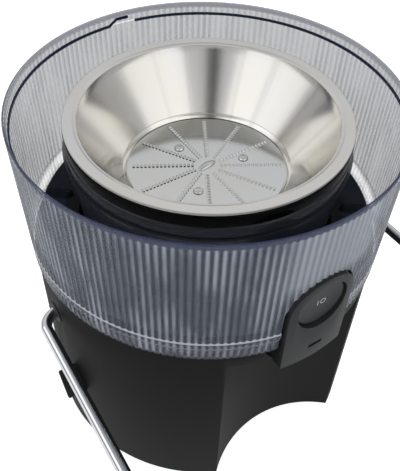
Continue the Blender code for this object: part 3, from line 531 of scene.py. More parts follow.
# %% Cutting, rounding and settling
def work(piece, other, operation):
    """Cuts, joins or keeps the overlap with another piece, which is used up."""
    make_active(piece)
    step = piece.modifiers.new(other.name, "BOOLEAN")
    step.object = other
    step.operation = operation
    bpy.ops.object.modifier_apply(modifier=step.name)
    bpy.data.objects.remove(other)
    return piece


def cut(piece, *others):
    for other in others:
        work(piece, other, "DIFFERENCE")
    return piece


def cut_cross(piece, height, length, width, depth):
    """A cross slot on the Z axis, half of its blocks above the height and half below."""
    middle = Vector((0, 0, height))
    for long, wide in ((length, width), (width, length)):
        corner = Vector((long / 2, wide / 2, depth))
        cut(piece, block("cross", middle - corner, middle + corner))


def soften(piece, width, segments=2, sharper_than=32):
    """Rounds edges sharper than an angle."""
    make_active(piece)
    step = piece.modifiers.new("soft edges", "BEVEL")
    step.width = width
    step.segments = segments
    step.limit_method = "ANGLE"
    step.angle_limit = math.radians(sharper_than)
    bpy.ops.object.modifier_apply(modifier=step.name)
    return piece


def two_finishes(piece, first, second, takes_second):
    """Gives the second finish to the faces that pass a test, and the first to the others."""
    piece.data.materials.clear()
    piece.data.materials.append(first)
    piece.data.materials.append(second)
    for face in piece.data.polygons:
        face.material_index = 1 if takes_second(face) else 0


def settle(piece, body, slot, finish, *replaced, smooth=30):
    """Last step of every piece: shading, finish, body and the CAD nodes that it stands for."""
    make_active(piece)
    bpy.ops.object.shade_smooth_by_angle(angle=math.radians(smooth))
    chosen = [face.material_index for face in piece.data.polygons]
    piece.data.materials.clear()
    finishes = finish if isinstance(finish, list) else [finish]
    for one in finishes:
        piece.data.materials.append(one)
    for face, index in zip(piece.data.polygons, chosen):
        face.material_index = index if index < len(finishes) else 0
    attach(piece, body)
    if replaced:
        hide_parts(*replaced)
    print(f"{piece.name}: {len(piece.data.polygons)} faces on {body}")
    return piece


def on_ring(radius, degrees):
    """A point at a turn counted from the front (-Y) towards +X."""
    angle = math.radians(degrees)
    return radius * math.sin(angle), -radius * math.cos(angle)


print("tools to cut, round and settle are ready")

# %% [markdown]
# ## Pulp tub
# The wall has 180 fine ribs. A rib repeats every two degrees, so one rib is drawn as a section that is spun
# through two degrees in six steps, its valleys are scaled in towards the axis, and copies are spun round the
# machine and merged. The ribs stop at a plain rim and at a plain band at the floor, as on the real tub.

# %% One rib of the tub
RIB_STEPS = 6
RIB_DEPTH = 0.75 * MM
RIB_SHAPE = (1.0, 0.55, 0.15, 0.0, 0.15, 0.55, 1.0)
TUB_WALL = 2.6 * MM
LEDGE_DROP = 6.2 * MM
LEDGE_W = 1.3 * MM
FLOOR_T = 2.5 * MM
LIP_R = 77.0 * MM
LIP_T = 1.6 * MM
LIP_H = 4.0 * MM
SKIRT_IN_R = 94.2 * MM
floor_z = tub_foot + FLOOR_UP
ledge_z = tub_top - LEDGE_DROP


def tub_radius(height):
    return TUB_FOOT_R + (height - tub_foot) * TUB_LEAN


RIB_TOP = tub_top - PLAIN_RIM_H
RIB_END = floor_z + 0.6 * MM
LOW_RIB_TOP = floor_z - 4.4 * MM
LOW_RIB_END = tub_foot + 0.6 * MM
inside_floor_r = tub_radius(floor_z) - TUB_WALL


def outside(height, inset=0.0):
    return tub_radius(height) - inset, height


tub_section = [
    outside(tub_top, 0.5 * MM), outside(tub_top - 0.5 * MM), outside(RIB_TOP + 0.8 * MM), outside(RIB_TOP),
    outside(RIB_END), outside(RIB_END - 0.7 * MM), outside(LOW_RIB_TOP + 0.5 * MM), outside(LOW_RIB_TOP),
    outside(LOW_RIB_END), outside(tub_foot, 0.3 * MM),
    (SKIRT_IN_R, tub_foot), (SKIRT_IN_R, floor_z - FLOOR_T), (LIP_R, floor_z - FLOOR_T),
    (LIP_R, floor_z + LIP_H - 0.4 * MM), (LIP_R + 0.4 * MM, floor_z + LIP_H),
    (LIP_R + LIP_T - 0.4 * MM, floor_z + LIP_H), (LIP_R + LIP_T, floor_z + LIP_H - 0.4 * MM),
    (LIP_R + LIP_T, floor_z + 0.8 * MM), (LIP_R + LIP_T + 0.8 * MM, floor_z),
    (inside_floor_r - 2.5 * MM, floor_z), (inside_floor_r - 0.8 * MM, floor_z + 0.9 * MM),
    (inside_floor_r, floor_z + 3.2 * MM),
    outside(ledge_z, TUB_WALL), outside(ledge_z, TUB_WALL - LEDGE_W),
    outside(tub_top - 0.4 * MM, TUB_WALL - LEDGE_W), outside(tub_top, TUB_WALL - LEDGE_W - 0.3 * MM),
]
RIBBED_ZONES = ((RIB_END, RIB_TOP), (LOW_RIB_END, LOW_RIB_TOP))

tub = draw_line("pulp_tub_clear", [(radius, 0, height) for radius, height in tub_section])
rib_turn = FULL_TURN / RIBS
bpy.ops.mesh.spin(steps=RIB_STEPS, angle=rib_turn, center=(0, 0, 0), axis=(0, 0, 1), use_auto_merge=False)
bpy.ops.object.mode_set(mode="OBJECT")


def in_rib(place):
    near = 0.05 * MM
    on_outside = math.hypot(place.x, place.y) > tub_radius(place.z) - near
    return on_outside and any(low - near < place.z < high + near for low, high in RIBBED_ZONES)


def column_of(place):
    """Columns stand a third of a degree apart."""
    return round(math.degrees(math.atan2(place.y, place.x)) * 3)


columns = sorted({column_of(vertex.co) for vertex in tub.data.vertices})
for column, depth in zip(columns, RIB_SHAPE):
    pick(tub, "VERT", lambda place: in_rib(place) and column_of(place) == column)
    shrink = 1 - RIB_DEPTH * depth / TUB_R
    bpy.ops.transform.resize(value=(shrink, shrink, 1), center_override=(0, 0, 0))
bpy.ops.object.mode_set(mode="OBJECT")
print(f"one rib: {len(tub.data.vertices)} vertices in {len(columns)} columns")

# %% All the ribs
pick(tub, "VERT", lambda place: True)
bpy.ops.mesh.spin(
    steps=RIBS - 1, dupli=True, angle=FULL_TURN - rib_turn, center=(0, 0, 0), axis=(0, 0, 1),
    use_auto_merge=False,
)
close_up()
print(f"whole wall: {len(tub.data.polygons)} faces")

# %% [markdown]
# The front of the tub goes round the control panel. An arched shell is kept only where it is inside the
# wall, joined to it, and then the arch itself is cut through, which leaves a thick clear edge.

# %% Pocket of the tub
panel_low, panel_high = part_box("control_panel")
PANEL_HALF_W = panel_high.x
PANEL_ARCH_Z = panel_high.z - PANEL_HALF_W
LIFT_GAP = 1.2 * MM
POCKET_WALL = 2.0 * MM
ARCH_STEPS = 64


def arch_outline(half_width, bottom, front):
    outline = [(half_width, front, bottom)]
    for step in range(ARCH_STEPS + 1):
        angle = math.pi * step / ARCH_STEPS
        outline.append((half_width * math.cos(angle), front, PANEL_ARCH_Z + half_width * math.sin(angle)))
    outline.append((-half_width, front, bottom))
    return outline


def arched(name, half_width, bottom, front, back):
    return slab(name, arch_outline(half_width, bottom, front), (0, back - front, 0))


pocket_back = panel_high.y + LIFT_GAP
front = -TUB_R - 5 * MM
shell = arched(
    "pocket_shell", PANEL_HALF_W + LIFT_GAP + POCKET_WALL, floor_z - FLOOR_T / 2, front,
    pocket_back + POCKET_WALL,
)
inside = 1.3 * MM
limit = turned("pocket_limit", [
    (0, tub_top), (TUB_R - inside, tub_top), (TUB_FOOT_R - inside, tub_foot), (0, tub_foot),
], closed=False)
work(shell, limit, "INTERSECT")
work(tub, shell, "UNION")
cut(tub, arched("pocket", PANEL_HALF_W + LIFT_GAP, tub_foot - 5 * MM, front, pocket_back))
settle(tub, "tub", "clear_plastic", clear_tub, "pulp_tub", smooth=50)

# %% [markdown]
# The lid locks under a thin ledge that runs round inside the rim. At the back it climbs a short ramp to a
# raised stretch, and a gap beside it lets the lid's tongue in. It is painted dark navy, the shade that its
# edge shows from above. It is a small square section, pushed round in steps, so that it can climb on the way.

# %% Lid ledge
LEDGE_LINE_T = 1.1 * MM
LEDGE_LINE_W = 0.9 * MM
LEDGE_START = math.radians(83.1)
RAMP_H = 3.2 * MM
ledge_in_r = tub_radius(ledge_z) - TUB_WALL + 0.1 * MM
STRETCHES = ((350.4, 0.0), (2.8, RAMP_H), (4.3, 0.0))
DEGREES_A_STEP = 2.0

ledge = draw_line("tub_lid_ledge", [
    (ledge_in_r, 0, ledge_z - LEDGE_LINE_T), (ledge_in_r + LEDGE_LINE_W, 0, ledge_z - LEDGE_LINE_T),
    (ledge_in_r + LEDGE_LINE_W, 0, ledge_z + 0.25 * MM), (ledge_in_r, 0, ledge_z + 0.25 * MM),
])
bpy.ops.transform.rotate(value=-LEDGE_START, orient_axis="Z", center_override=(0, 0, 0))
for degrees, climb in STRETCHES:
    count = max(4, round(degrees / DEGREES_A_STEP))
    for _ in range(count):
        extrude((0, 0, climb / count))
        bpy.ops.transform.rotate(
            value=math.radians(degrees / count), orient_axis="Z", center_override=(0, 0, 0)
        )
bpy.ops.mesh.select_all(action="SELECT")
bpy.ops.mesh.fill_holes(sides=4)
close_up()
settle(ledge, "tub", "clear_plastic", ledge_shade_navy)

# %% [markdown]
# ## Juice bowl, black ring and spout
# The bowl is a tapered clear wall with a flat floor and a neck in the middle that the hub turns over. A
# glossy black ring with a groove sits on its edge. All are turned, and the spout is a bent square duct.

# %% Bowl and ring
BOWL_TOP_R = 74.6 * MM
BOWL_FLOOR_R = 66.8 * MM
BOWL_WALL = 1.6 * MM
NECK_R = 9.6 * MM
NECK_H = 19.0 * MM
bowl_low, bowl_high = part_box("juice_bowl")
bowl_bottom, bowl_top = bowl_low.z, bowl_high.z
bowl_floor = bowl_bottom + BOWL_WALL

bowl = turned("juice_bowl_clear", [
    (BOWL_TOP_R, bowl_top), (BOWL_FLOOR_R + 0.4 * MM, floor_z + 1 * MM), (BOWL_FLOOR_R, floor_z - 1 * MM),
    (BOWL_FLOOR_R, bowl_bottom + 0.6 * MM), (BOWL_FLOOR_R - 0.6 * MM, bowl_bottom), (NECK_R, bowl_bottom),
    (NECK_R, bowl_bottom + NECK_H), (NECK_R + BOWL_WALL, bowl_bottom + NECK_H),
    (NECK_R + BOWL_WALL, bowl_floor), (BOWL_FLOOR_R - BOWL_WALL - 1 * MM, bowl_floor),
    (BOWL_FLOOR_R - BOWL_WALL, bowl_floor + 1 * MM), (BOWL_FLOOR_R - BOWL_WALL, floor_z),
    (BOWL_TOP_R - BOWL_WALL, bowl_top),
])
spout_low, spout_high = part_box("spout")
SPOUT_WALL = 1.4 * MM
duct_half = spout_high.x - SPOUT_WALL
cut(bowl, block(
    "outlet", (-duct_half, -BOWL_FLOOR_R - 5 * MM, bowl_floor),
    (duct_half, -BOWL_FLOOR_R + 5 * MM, spout_high.z - SPOUT_WALL),
))
settle(bowl, "base", "clear_plastic", clear_bowl, "juice_bowl")

ring_low, ring_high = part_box("bowl_ring")
RING_IN_R = 69.9 * MM
ring_r = ring_high.x
ring_mid = (ring_low.z + ring_high.z) / 2
GROOVE = 0.8 * MM
ring = turned("bowl_ring_black", [
    (ring_r - 0.5 * MM, ring_high.z), (ring_r, ring_high.z - 0.5 * MM), (ring_r, ring_mid + GROOVE),
    (ring_r - GROOVE, ring_mid + GROOVE / 2), (ring_r - GROOVE, ring_mid - GROOVE / 2),
    (ring_r, ring_mid - GROOVE), (ring_r, ring_low.z + 0.5 * MM), (ring_r - 0.5 * MM, ring_low.z),
    (RING_IN_R, ring_low.z), (RING_IN_R, ring_high.z),
])
soften(ring, 0.2 * MM)
two_finishes(ring, gloss_black, clear_bowl, lambda face: face.center.z <= ring_mid - 0.2 * MM)
settle(ring, "base", "black_plastic", [gloss_black, clear_bowl], "bowl_ring")

# %% Spout
SPOUT_DEPTH = 10.0 * MM
elbow_y = spout_low.y + SPOUT_DEPTH
LONG_CUT = 5 * MM


def duct(name, half, inset, run_on):
    """An elbow from the bowl to the front, then down. The inset shrinks it, run_on lengthens its ends."""
    side = [
        (spout_high.y + run_on, bowl_bottom + inset), (elbow_y - inset, bowl_bottom + inset),
        (elbow_y - inset, spout_low.z - run_on), (spout_low.y + inset, spout_low.z - run_on),
        (spout_low.y + inset, spout_high.z - inset), (spout_high.y + run_on, spout_high.z - inset),
    ]
    return slab(name, [(-half, y, z) for y, z in side], (2 * half, 0, 0))


spout = soften(duct("spout_clear", spout_high.x, 0, 0), 0.8 * MM, 3)
cut(spout, duct("spout_duct", duct_half, SPOUT_WALL, LONG_CUT))
settle(spout, "base", "clear_plastic", clear_bowl, "spout")

# %% [markdown]
# ## Steel basket
# Rim and cone are turned. The rim is a flat ring rolled down at its outer edge. The cone has a short, steeper
# band at its top and one fine seam near the disc, where the parts of the real basket are joined.

# %% Rim and cone
rim_low, rim_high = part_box("basket_rim")
cone_low, cone_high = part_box("basket_cone")
rim_r = rim_high.x
CONE_TOP_R = 67.2 * MM
CONE_T = 0.9 * MM
BAND_H = 4.0 * MM
BAND_IN = 2.0 * MM
rim = turned("basket_rim_steel", [
    (rim_r - 0.5 * MM, rim_high.z), (rim_r - 0.15 * MM, rim_high.z - 0.12 * MM),
    (rim_r, rim_high.z - 0.4 * MM), (rim_r, rim_low.z), (CONE_TOP_R - CONE_T, rim_low.z),
    (CONE_TOP_R - CONE_T, rim_high.z - 0.6 * MM), (CONE_TOP_R, rim_high.z - 0.45 * MM),
    (CONE_TOP_R + 0.9 * MM, rim_high.z),
])
settle(rim, "basket", "basket_steel", rim_steel, "basket_rim", smooth=10)

disc_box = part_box("grater_disc")
DISC_R = disc_box[1].y
DISC_T = 0.8 * MM
disc_z = disc_box[0].z + DISC_T
foot_r = DISC_R + 0.8 * MM
band_r = CONE_TOP_R - BAND_IN
band_z = cone_high.z - BAND_H
shelf_z = disc_box[0].z - 0.3 * MM
SEAM = 0.12 * MM


def on_cone(share):
    """Radius and height of the cone's inner face, from its foot (0) to the band (1)."""
    return foot_r + (band_r - foot_r) * share, disc_z + (band_z - disc_z) * share


def seam(share):
    """Four points of a fine groove across the cone's inner face, from its upper side down."""
    grooves = []
    for step, sunk in ((0.012, 0), (0.004, SEAM), (-0.004, SEAM), (-0.012, 0)):
        radius, height = on_cone(share + step)
        grooves.append((radius + sunk, height - sunk / 2))
    return grooves


inner_face = [(foot_r, shelf_z), (foot_r, disc_z), *reversed(seam(0.07)), (band_r, band_z)]
cone = turned("basket_cone_steel", [
    (CONE_TOP_R + CONE_T, cone_high.z), (band_r + CONE_T, band_z), (foot_r + CONE_T, disc_box[0].z),
    (foot_r + CONE_T, cone_low.z), (foot_r - 4 * MM, cone_low.z), (foot_r - 4 * MM, shelf_z),
    *inner_face, (CONE_TOP_R, cone_high.z),
])
settle(cone, "basket", "basket_steel", basket_steel, "basket_cone", smooth=25)

# %% [markdown]
# The disc carries twelve rows of sixteen teeth. A tooth is a low half dome, cut off square at its mouth, and
# its mouth is painted dark, as the shade of the hole behind it. One tooth is made from a coarse sphere,
# copied along a row, and the row is spun round the disc.

# %% Grater disc
ROWS = 12
TEETH = 16
TOOTH_PITCH = 2.1 * MM
TOOTH_IN_R = 7.8 * MM
TOOTH_LONG = 1.9 * MM
TOOTH_WIDE = 0.75 * MM
TOOTH_HIGH = 0.55 * MM
MOUTH_AT = 0.6 * MM

disc = cylinder("grater_disc_steel", DISC_R, (disc_box[0].z, disc_z), sides=ROUND)
pick(disc, "FACE", lambda centre, normal: abs(normal.z) > 0.9)
bpy.ops.mesh.inset(thickness=0.5 * MM)
bpy.ops.object.mode_set(mode="OBJECT")

tooth = start(
    bpy.ops.mesh.primitive_uv_sphere_add, "teeth", segments=10, ring_count=6, radius=1,
    scale=(TOOTH_WIDE, TOOTH_LONG, TOOTH_HIGH),
)
bpy.ops.object.mode_set(mode="EDIT")
bpy.ops.mesh.select_all(action="SELECT")
bpy.ops.mesh.bisect(plane_co=(0, 0, -0.1 * MM), plane_no=(0, 0, -1), use_fill=True, clear_outer=True)
bpy.ops.mesh.select_all(action="SELECT")
bpy.ops.mesh.bisect(plane_co=(0, MOUTH_AT, 0), plane_no=(0, 1, 0), use_fill=True, clear_outer=True)
close_up()
# Mouth faces get the painted shade.
two_finishes(tooth, tooth_steel, tooth_hole_shade, lambda face: face.normal.y > 0.9)
pick(tooth, "VERT", lambda place: True)
bpy.ops.transform.translate(value=(TOOTH_IN_R, 0, disc_z))
for _ in range(TEETH - 1):
    bpy.ops.mesh.duplicate_move(TRANSFORM_OT_translate={"value": (TOOTH_PITCH, 0, 0)})
bpy.ops.mesh.select_all(action="SELECT")
bpy.ops.mesh.spin(
    steps=ROWS - 1, dupli=True, angle=FULL_TURN * (ROWS - 1) / ROWS, center=(0, 0, 0), axis=(0, 0, 1),
    use_auto_merge=False,
)
bpy.ops.object.mode_set(mode="OBJECT")
settle(tooth, "basket", "disc_steel", [tooth_steel, tooth_hole_shade], smooth=50)
BAR_TURN = math.radians(9.5)
bar = start(
    bpy.ops.mesh.primitive_uv_sphere_add, "disc_centre_bar", segments=32, ring_count=16, radius=1,
    location=(0, 0, disc_z), rotation=(0, 0, BAR_TURN), scale=(6.0 * MM, 2.3 * MM, 1.5 * MM),
)
settle(bar, "basket", "disc_steel", rivet_steel)
settle(disc, "basket", "disc_steel", disc_steel, "grater_disc")

# %% [markdown]
# Three rivets hold the disc to the hub. A rivet is turned, and a small cross is cut into its head.

# %% Rivets
RIVET_TURNS = (-45.8, 76.2, 193.3)
RIVET_RING_R = 21.0 * MM
CROSS_L = 2.6 * MM
CROSS_W = 0.55 * MM
CROSS_DEPTH = 0.45 * MM
for number, degrees in enumerate(RIVET_TURNS, 1):
    name = f"disc_rivet_{number}"
    low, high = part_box(name)
    x, y = on_ring(RIVET_RING_R, degrees)
    head_r, seat = (high.x - low.x) / 2, disc_z + 0.3 * MM
    rivet = turned(f"rivet_{number}_steel", [
        (0, high.z), (head_r * 0.45, high.z - 0.06 * MM), (head_r * 0.8, high.z - 0.3 * MM), (head_r, seat),
        (1.5 * MM, seat), (1.5 * MM, low.z), (0, low.z),
    ], steps=40, closed=False)
    cut_cross(rivet, high.z, CROSS_L, CROSS_W, CROSS_DEPTH)
    shift(rivet, (x, y, 0))
    settle(rivet, "basket", "basket_steel", rivet_steel, name)

# %% [markdown]
# ## Motor base
# The housing is a thin round shell. A glass stands in a tall rounded recess at its front, and above it there
# is a window for the spout. The hollow is cut from a solid, with the recess's own wall left standing. A small
# wedge beside the panel is left open, and shows as a dark corner under the tub.

# %% Motor housing
housing_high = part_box("motor_housing")[1]
BASE_R = housing_high.y
base_top = housing_high.z
BASE_WALL = 2.6 * MM
RECESS_R = 65.0 * MM
RECESS_Y = -134.0 * MM
RECESS_H = 117.0 * MM
PIVOT_Z = 102.2 * MM
BUSH_HOLE_R = 6.3 * MM
GLAND_Z = 22.0 * MM
GLAND_HOLE_R = 7.3 * MM
GAP = 0.3 * MM
OVER = 6 * MM


def recess_tool(name, radius, top):
    return cylinder(name, radius, (-OVER, top), centre=(0, RECESS_Y, 0), sides=256)


housing = cylinder("motor_housing_shell", BASE_R, (0, base_top), sides=ROUND)
hollow = cylinder("hollow", BASE_R - BASE_WALL, (-OVER, base_top + OVER), sides=ROUND)
cut(hollow, recess_tool("recess_wall", RECESS_R + BASE_WALL, RECESS_H + BASE_WALL))
cut(housing, hollow, recess_tool("recess", RECESS_R, RECESS_H))
for sign in (-1, 1):
    ends = sorted((sign * (BASE_R - 3 * OVER), sign * (BASE_R + OVER)))
    cut(housing, cylinder("bush_hole", BUSH_HOLE_R, ends, "X", (0, 0, PIVOT_Z), sides=48))
gland_ends = (BASE_R - OVER, BASE_R + OVER)
cut(housing, cylinder("gland_hole", GLAND_HOLE_R, gland_ends, "Y", (0, 0, GLAND_Z), sides=48))
window_half = spout_high.x + 3 * MM
cut(housing, block(
    "spout_window", (-window_half, spout_low.y - 1.5 * MM, RECESS_H - OVER),
    (window_half, elbow_y + 2 * MM, base_top + OVER),
))
room = arched("panel_room", PANEL_HALF_W + GAP, panel_low.z - GAP, -BASE_R - 2 * OVER, panel_high.y + GAP)
cut(housing, room)
WEDGE_W = 8.5 * MM
wedge_x, wedge_top, wedge_front = -PANEL_HALF_W + 1 * MM, base_top - 0.8 * MM, -BASE_R - OVER
cut(housing, slab("corner_gap", [
    (wedge_x, wedge_front, wedge_top), (wedge_x - WEDGE_W, wedge_front, wedge_top),
    (wedge_x, wedge_front, panel_low.z + 2 * MM),
], (0, 3 * OVER, 0)))
soften(housing, 0.7 * MM, 3, 40)
settle(housing, "base", "charcoal_plastic", charcoal, "motor_housing", smooth=28)

# %% [markdown]
# A slanted fin stands out of each flank, where a thumb steadies the base. Its slanted outline is filled and
# extruded sideways, and its edges are rounded.

# %% Side fins
LUG_TOP = Vector((0, -10.0 * MM, 64.0 * MM))
LUG_FOOT = Vector((0, -19.4 * MM, 48.5 * MM))
LUG_T = 3.0 * MM
run = LUG_TOP - LUG_FOOT
across = Vector((0, -run.z, run.y)).normalized() * LUG_T
for side, sign in (("left", -1), ("right", 1)):
    foot = Vector((sign * (BASE_R - BASE_WALL), LUG_FOOT.y, LUG_FOOT.z))
    reach = Vector((sign * (housing_high.x - BASE_R + BASE_WALL), 0, 0))
    lug = slab(f"side_fin_{side}", [foot, foot + run, foot + run + across, foot + across], reach)
    settle(soften(lug, 0.8 * MM, 3), "base", "charcoal_plastic", lug_black_and_side_shade)

# %% [markdown]
# The deck under the tub is turned like the bowl, with a channel for the spout and two oval pockets.

# %% Deck
deck_low, deck_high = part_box("top_deck")
DECK_R = deck_high.x
DECK_T = 2.4 * MM
WELL_R = BOWL_FLOOR_R + 4 * MM
well_z = deck_low.z + DECK_T
SEAL_R = 13.0 * MM
deck = turned("top_deck_plate", [
    (DECK_R - 0.6 * MM, deck_high.z), (DECK_R, deck_high.z - 0.6 * MM), (DECK_R, tub_foot),
    (DECK_R - DECK_T, tub_foot), (DECK_R - DECK_T, deck_high.z - DECK_T),
    (WELL_R + DECK_T, deck_high.z - DECK_T), (WELL_R + DECK_T, deck_low.z), (SEAL_R, deck_low.z),
    (SEAL_R, well_z), (WELL_R, well_z),
    (WELL_R, deck_high.z - 0.6 * MM), (WELL_R + 0.6 * MM, deck_high.z),
])
cut(deck, block(
    "spout_channel", (-spout_high.x - 1 * MM, -DECK_R - OVER, well_z - OVER),
    (spout_high.x + 1 * MM, -BOWL_FLOOR_R - 0.8 * MM, deck_high.z + OVER),
))
room_back = spout_low.y - 1.5 * MM + GAP
cut(deck, arched("deck_room", PANEL_HALF_W + GAP, panel_low.z - GAP, -BASE_R - 2 * OVER, room_back))
POCKET_TURNS = (-128.0, 56.0)
POCKET_R = 84.5 * MM
POCKET_L = 17.0 * MM
POCKET_W = 8.0 * MM
for degrees in POCKET_TURNS:
    oval = cylinder("oval", POCKET_W / 2, (deck_high.z - 2 * DECK_T, deck_high.z + DECK_T), sides=32)
    pick(oval, "VERT", lambda place: place.x > 0)
    bpy.ops.transform.translate(value=((POCKET_L - POCKET_W) / 2, 0, 0))
    pick(oval, "VERT", lambda place: place.x < POCKET_W * 0.05)
    bpy.ops.transform.translate(value=(-(POCKET_L - POCKET_W) / 2, 0, 0))
    bpy.ops.mesh.select_all(action="SELECT")
    bpy.ops.transform.translate(value=(POCKET_R, 0, 0))
    bpy.ops.object.mode_set(mode="OBJECT")
    oval.matrix_world = Matrix.Rotation(math.radians(degrees - 90), 4, "Z")
    cut(deck, oval)
settle(deck, "base", "deck_plastic", deck_grey, "top_deck")

# %% [markdown]
# ## Control panel and button
# The panel is an arched block whose face follows a circle about the spin axis, and its sides are painted
# darker, as painted shade. The button sits a little below that face in a close round hole, with a plain on
# and off mark in raised paint.

# %% Panel
PANEL_FACE_R = 100.0 * MM
PANEL_WALL = 2.8 * MM
BUTTON_HOLE_R = 14.6 * MM
LAMP_Z = 120.3 * MM
LAMP_HALF_W = 4.2 * MM
LAMP_HALF_H = 1.2 * MM
CUT_FRONT, CUT_BACK = -0.11, -0.08
PANEL_TOOL_H = 0.2
panel = arched("control_panel_face", PANEL_HALF_W, panel_low.z, -PANEL_FACE_R - OVER, panel_high.y)
work(panel, cylinder("panel_round", PANEL_FACE_R, (0, PANEL_TOOL_H), sides=720), "INTERSECT")
inner_front = -PANEL_FACE_R * math.cos(PANEL_HALF_W / PANEL_FACE_R) + PANEL_WALL
cut(
    panel,
    arched(
        "panel_hollow", PANEL_HALF_W - PANEL_WALL, panel_low.z + PANEL_WALL, inner_front, panel_high.y + OVER,
    ),
    cylinder("button_hole", BUTTON_HOLE_R, (CUT_FRONT, CUT_BACK), "Y", (0, 0, PANEL_ARCH_Z), sides=128),
)
soften(panel, 0.6 * MM, 3, 40)
cut(panel, block(
    "lamp_slot", (-LAMP_HALF_W, CUT_FRONT, LAMP_Z - LAMP_HALF_H),
    (LAMP_HALF_W, CUT_BACK, LAMP_Z + LAMP_HALF_H),
))


# The panel's side faces get painted shade, in the black of the side fins.
def in_side_shade(face):
    return abs(face.normal.x) > 0.9 and abs(face.center.x) > PANEL_HALF_W - 0.3 * MM


two_finishes(panel, panel_grey, lug_black_and_side_shade, in_side_shade)
settle(panel, "base", "panel_plastic", [panel_grey, lug_black_and_side_shade], "control_panel", smooth=28)

# %% Button
button_low, button_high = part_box("power_button")
BUTTON_R = button_high.x
button = cylinder(
    "power_button_cap", BUTTON_R, (button_low.y, button_high.y), "Y", (0, 0, PANEL_ARCH_Z), sides=128
)
pick(button, "FACE", lambda centre, normal: normal.y < -0.9)
bpy.ops.mesh.inset(thickness=1.6 * MM)
bpy.ops.mesh.inset(thickness=1.2 * MM)
bpy.ops.transform.translate(value=(0, 0.5 * MM, 0))
bpy.ops.object.mode_set(mode="OBJECT")
settle(soften(button, 0.45 * MM, 3, 40), "button", "panel_plastic", button_grey, "power_button", smooth=40)

MARK_R = 1.7 * MM
MARK_LINE = 0.45 * MM
MARK_GAP = 1.6 * MM
mark_y = button_low.y + 0.5 * MM
stroke = block(
    "mark_on", (-MARK_GAP - MARK_LINE / 2, mark_y - 0.12 * MM, PANEL_ARCH_Z - MARK_R),
    (-MARK_GAP + MARK_LINE / 2, mark_y + 0.2 * MM, PANEL_ARCH_Z + MARK_R),
)
settle(soften(stroke, 0.05 * MM), "button", "panel_plastic", mark_white)
loop = start(
    bpy.ops.mesh.primitive_torus_add, "mark_off", major_radius=MARK_R - MARK_LINE / 2,
    minor_radius=MARK_LINE / 2, major_segments=48, minor_segments=8,
    location=(MARK_GAP, mark_y, PANEL_ARCH_Z), rotation=(math.pi / 2, 0, 0),
)
pick(loop, "VERT", lambda place: True)
bpy.ops.transform.resize(value=(1, 0.5, 1), center_override=(0, mark_y, 0))
bpy.ops.object.mode_set(mode="OBJECT")
settle(loop, "button", "panel_plastic", mark_white)

# %% [markdown]
# ## Wire bail
# A circle is extruded along each straight and spun through each bend about the bend's own centre, which is
# how a wire bender works. The ends go through bushes in the flanks.

# %% Bail
WIRE_R = 3.1 * MM
WIRE_SIDES = 24
BEND_STEPS = 16
HALF_W = 105.5 * MM
SPREAD = 5.0 * MM
ARM = 175.0 * MM
DROOP = math.radians(2.2)
END_X = 87.0 * MM
far_x, far_y, far_z = HALF_W + SPREAD, -ARM * math.cos(DROOP), -ARM * math.sin(DROOP)
corners = [
    Vector((x, y, z + PIVOT_Z)) for x, y, z in (
        (-END_X, 0, 0), (-HALF_W, 0, 0), (-far_x, far_y, far_z),
        (far_x, far_y, far_z), (HALF_W, 0, 0), (END_X, 0, 0),
    )
]
BEND_RADII = (9.0 * MM, 16.0 * MM, 16.0 * MM, 9.0 * MM)

heading = (corners[1] - corners[0]).normalized()
bail = start(
    bpy.ops.mesh.primitive_circle_add, "bail_wire", vertices=WIRE_SIDES, radius=WIRE_R, location=corners[0],
    rotation=(0, math.pi / 2, 0),
)
bpy.ops.object.mode_set(mode="EDIT")
bpy.ops.mesh.select_all(action="SELECT")
here = corners[0]
for corner, after, radius in zip(corners[1:], corners[2:], BEND_RADII):
    onward = (after - corner).normalized()
    bend = heading.angle(onward)
    begin = corner - heading * radius * math.tan(bend / 2)
    extrude(begin - here)
    axis = heading.cross(onward).normalized()
    centre = begin + axis.cross(heading) * radius
    bpy.ops.mesh.spin(steps=BEND_STEPS, angle=-bend, center=centre, axis=axis, use_auto_merge=False)
    here = corner + onward * radius * math.tan(bend / 2)
    heading = onward
extrude(corners[-1] - here)
bpy.ops.mesh.select_all(action="SELECT")
bpy.ops.mesh.fill_holes(sides=WIRE_SIDES)
close_up()
settle(bail, "bail", "chrome_wire", chrome, "bail", smooth=50)

# %% Bushes and clips
for side, sign in (("left", -1), ("right", 1)):
    for node, bore, finish, slot, body in (
        (f"pivot_bush_{side}", WIRE_R + GAP, bush_black, "bush_plastic", "base"),
        (f"bail_clip_{side}", WIRE_R + GAP, zinc, "plated_steel", "bail"),
    ):
        low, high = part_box(node)
        outer = (high.y - low.y) / 2
        collar = turned(
            f"{node}_turned", [(outer, high.x), (outer, low.x), (bore, low.x), (bore, high.x)], 48,
        )
        soften(collar, 0.35 * MM, 2, 40)
        swing(collar, math.pi / 2, "Y")
        middle = (collar.bound_box[0][0] + collar.bound_box[6][0]) / 2
        if middle * (low.x + high.x) < 0:
            shift(collar, (low.x + high.x, 0, 0))
        shift(collar, (0, 0, PIVOT_Z))
        settle(collar, body, slot, finish, node)

# %% [markdown]
# ## Underside and back
# The cover, feet, screws and grommet are seen when the machine is turned over. The cover's CAD shape is
# right, so a copy of it only gets clean faces and rounded edges; the turned parts are made new.

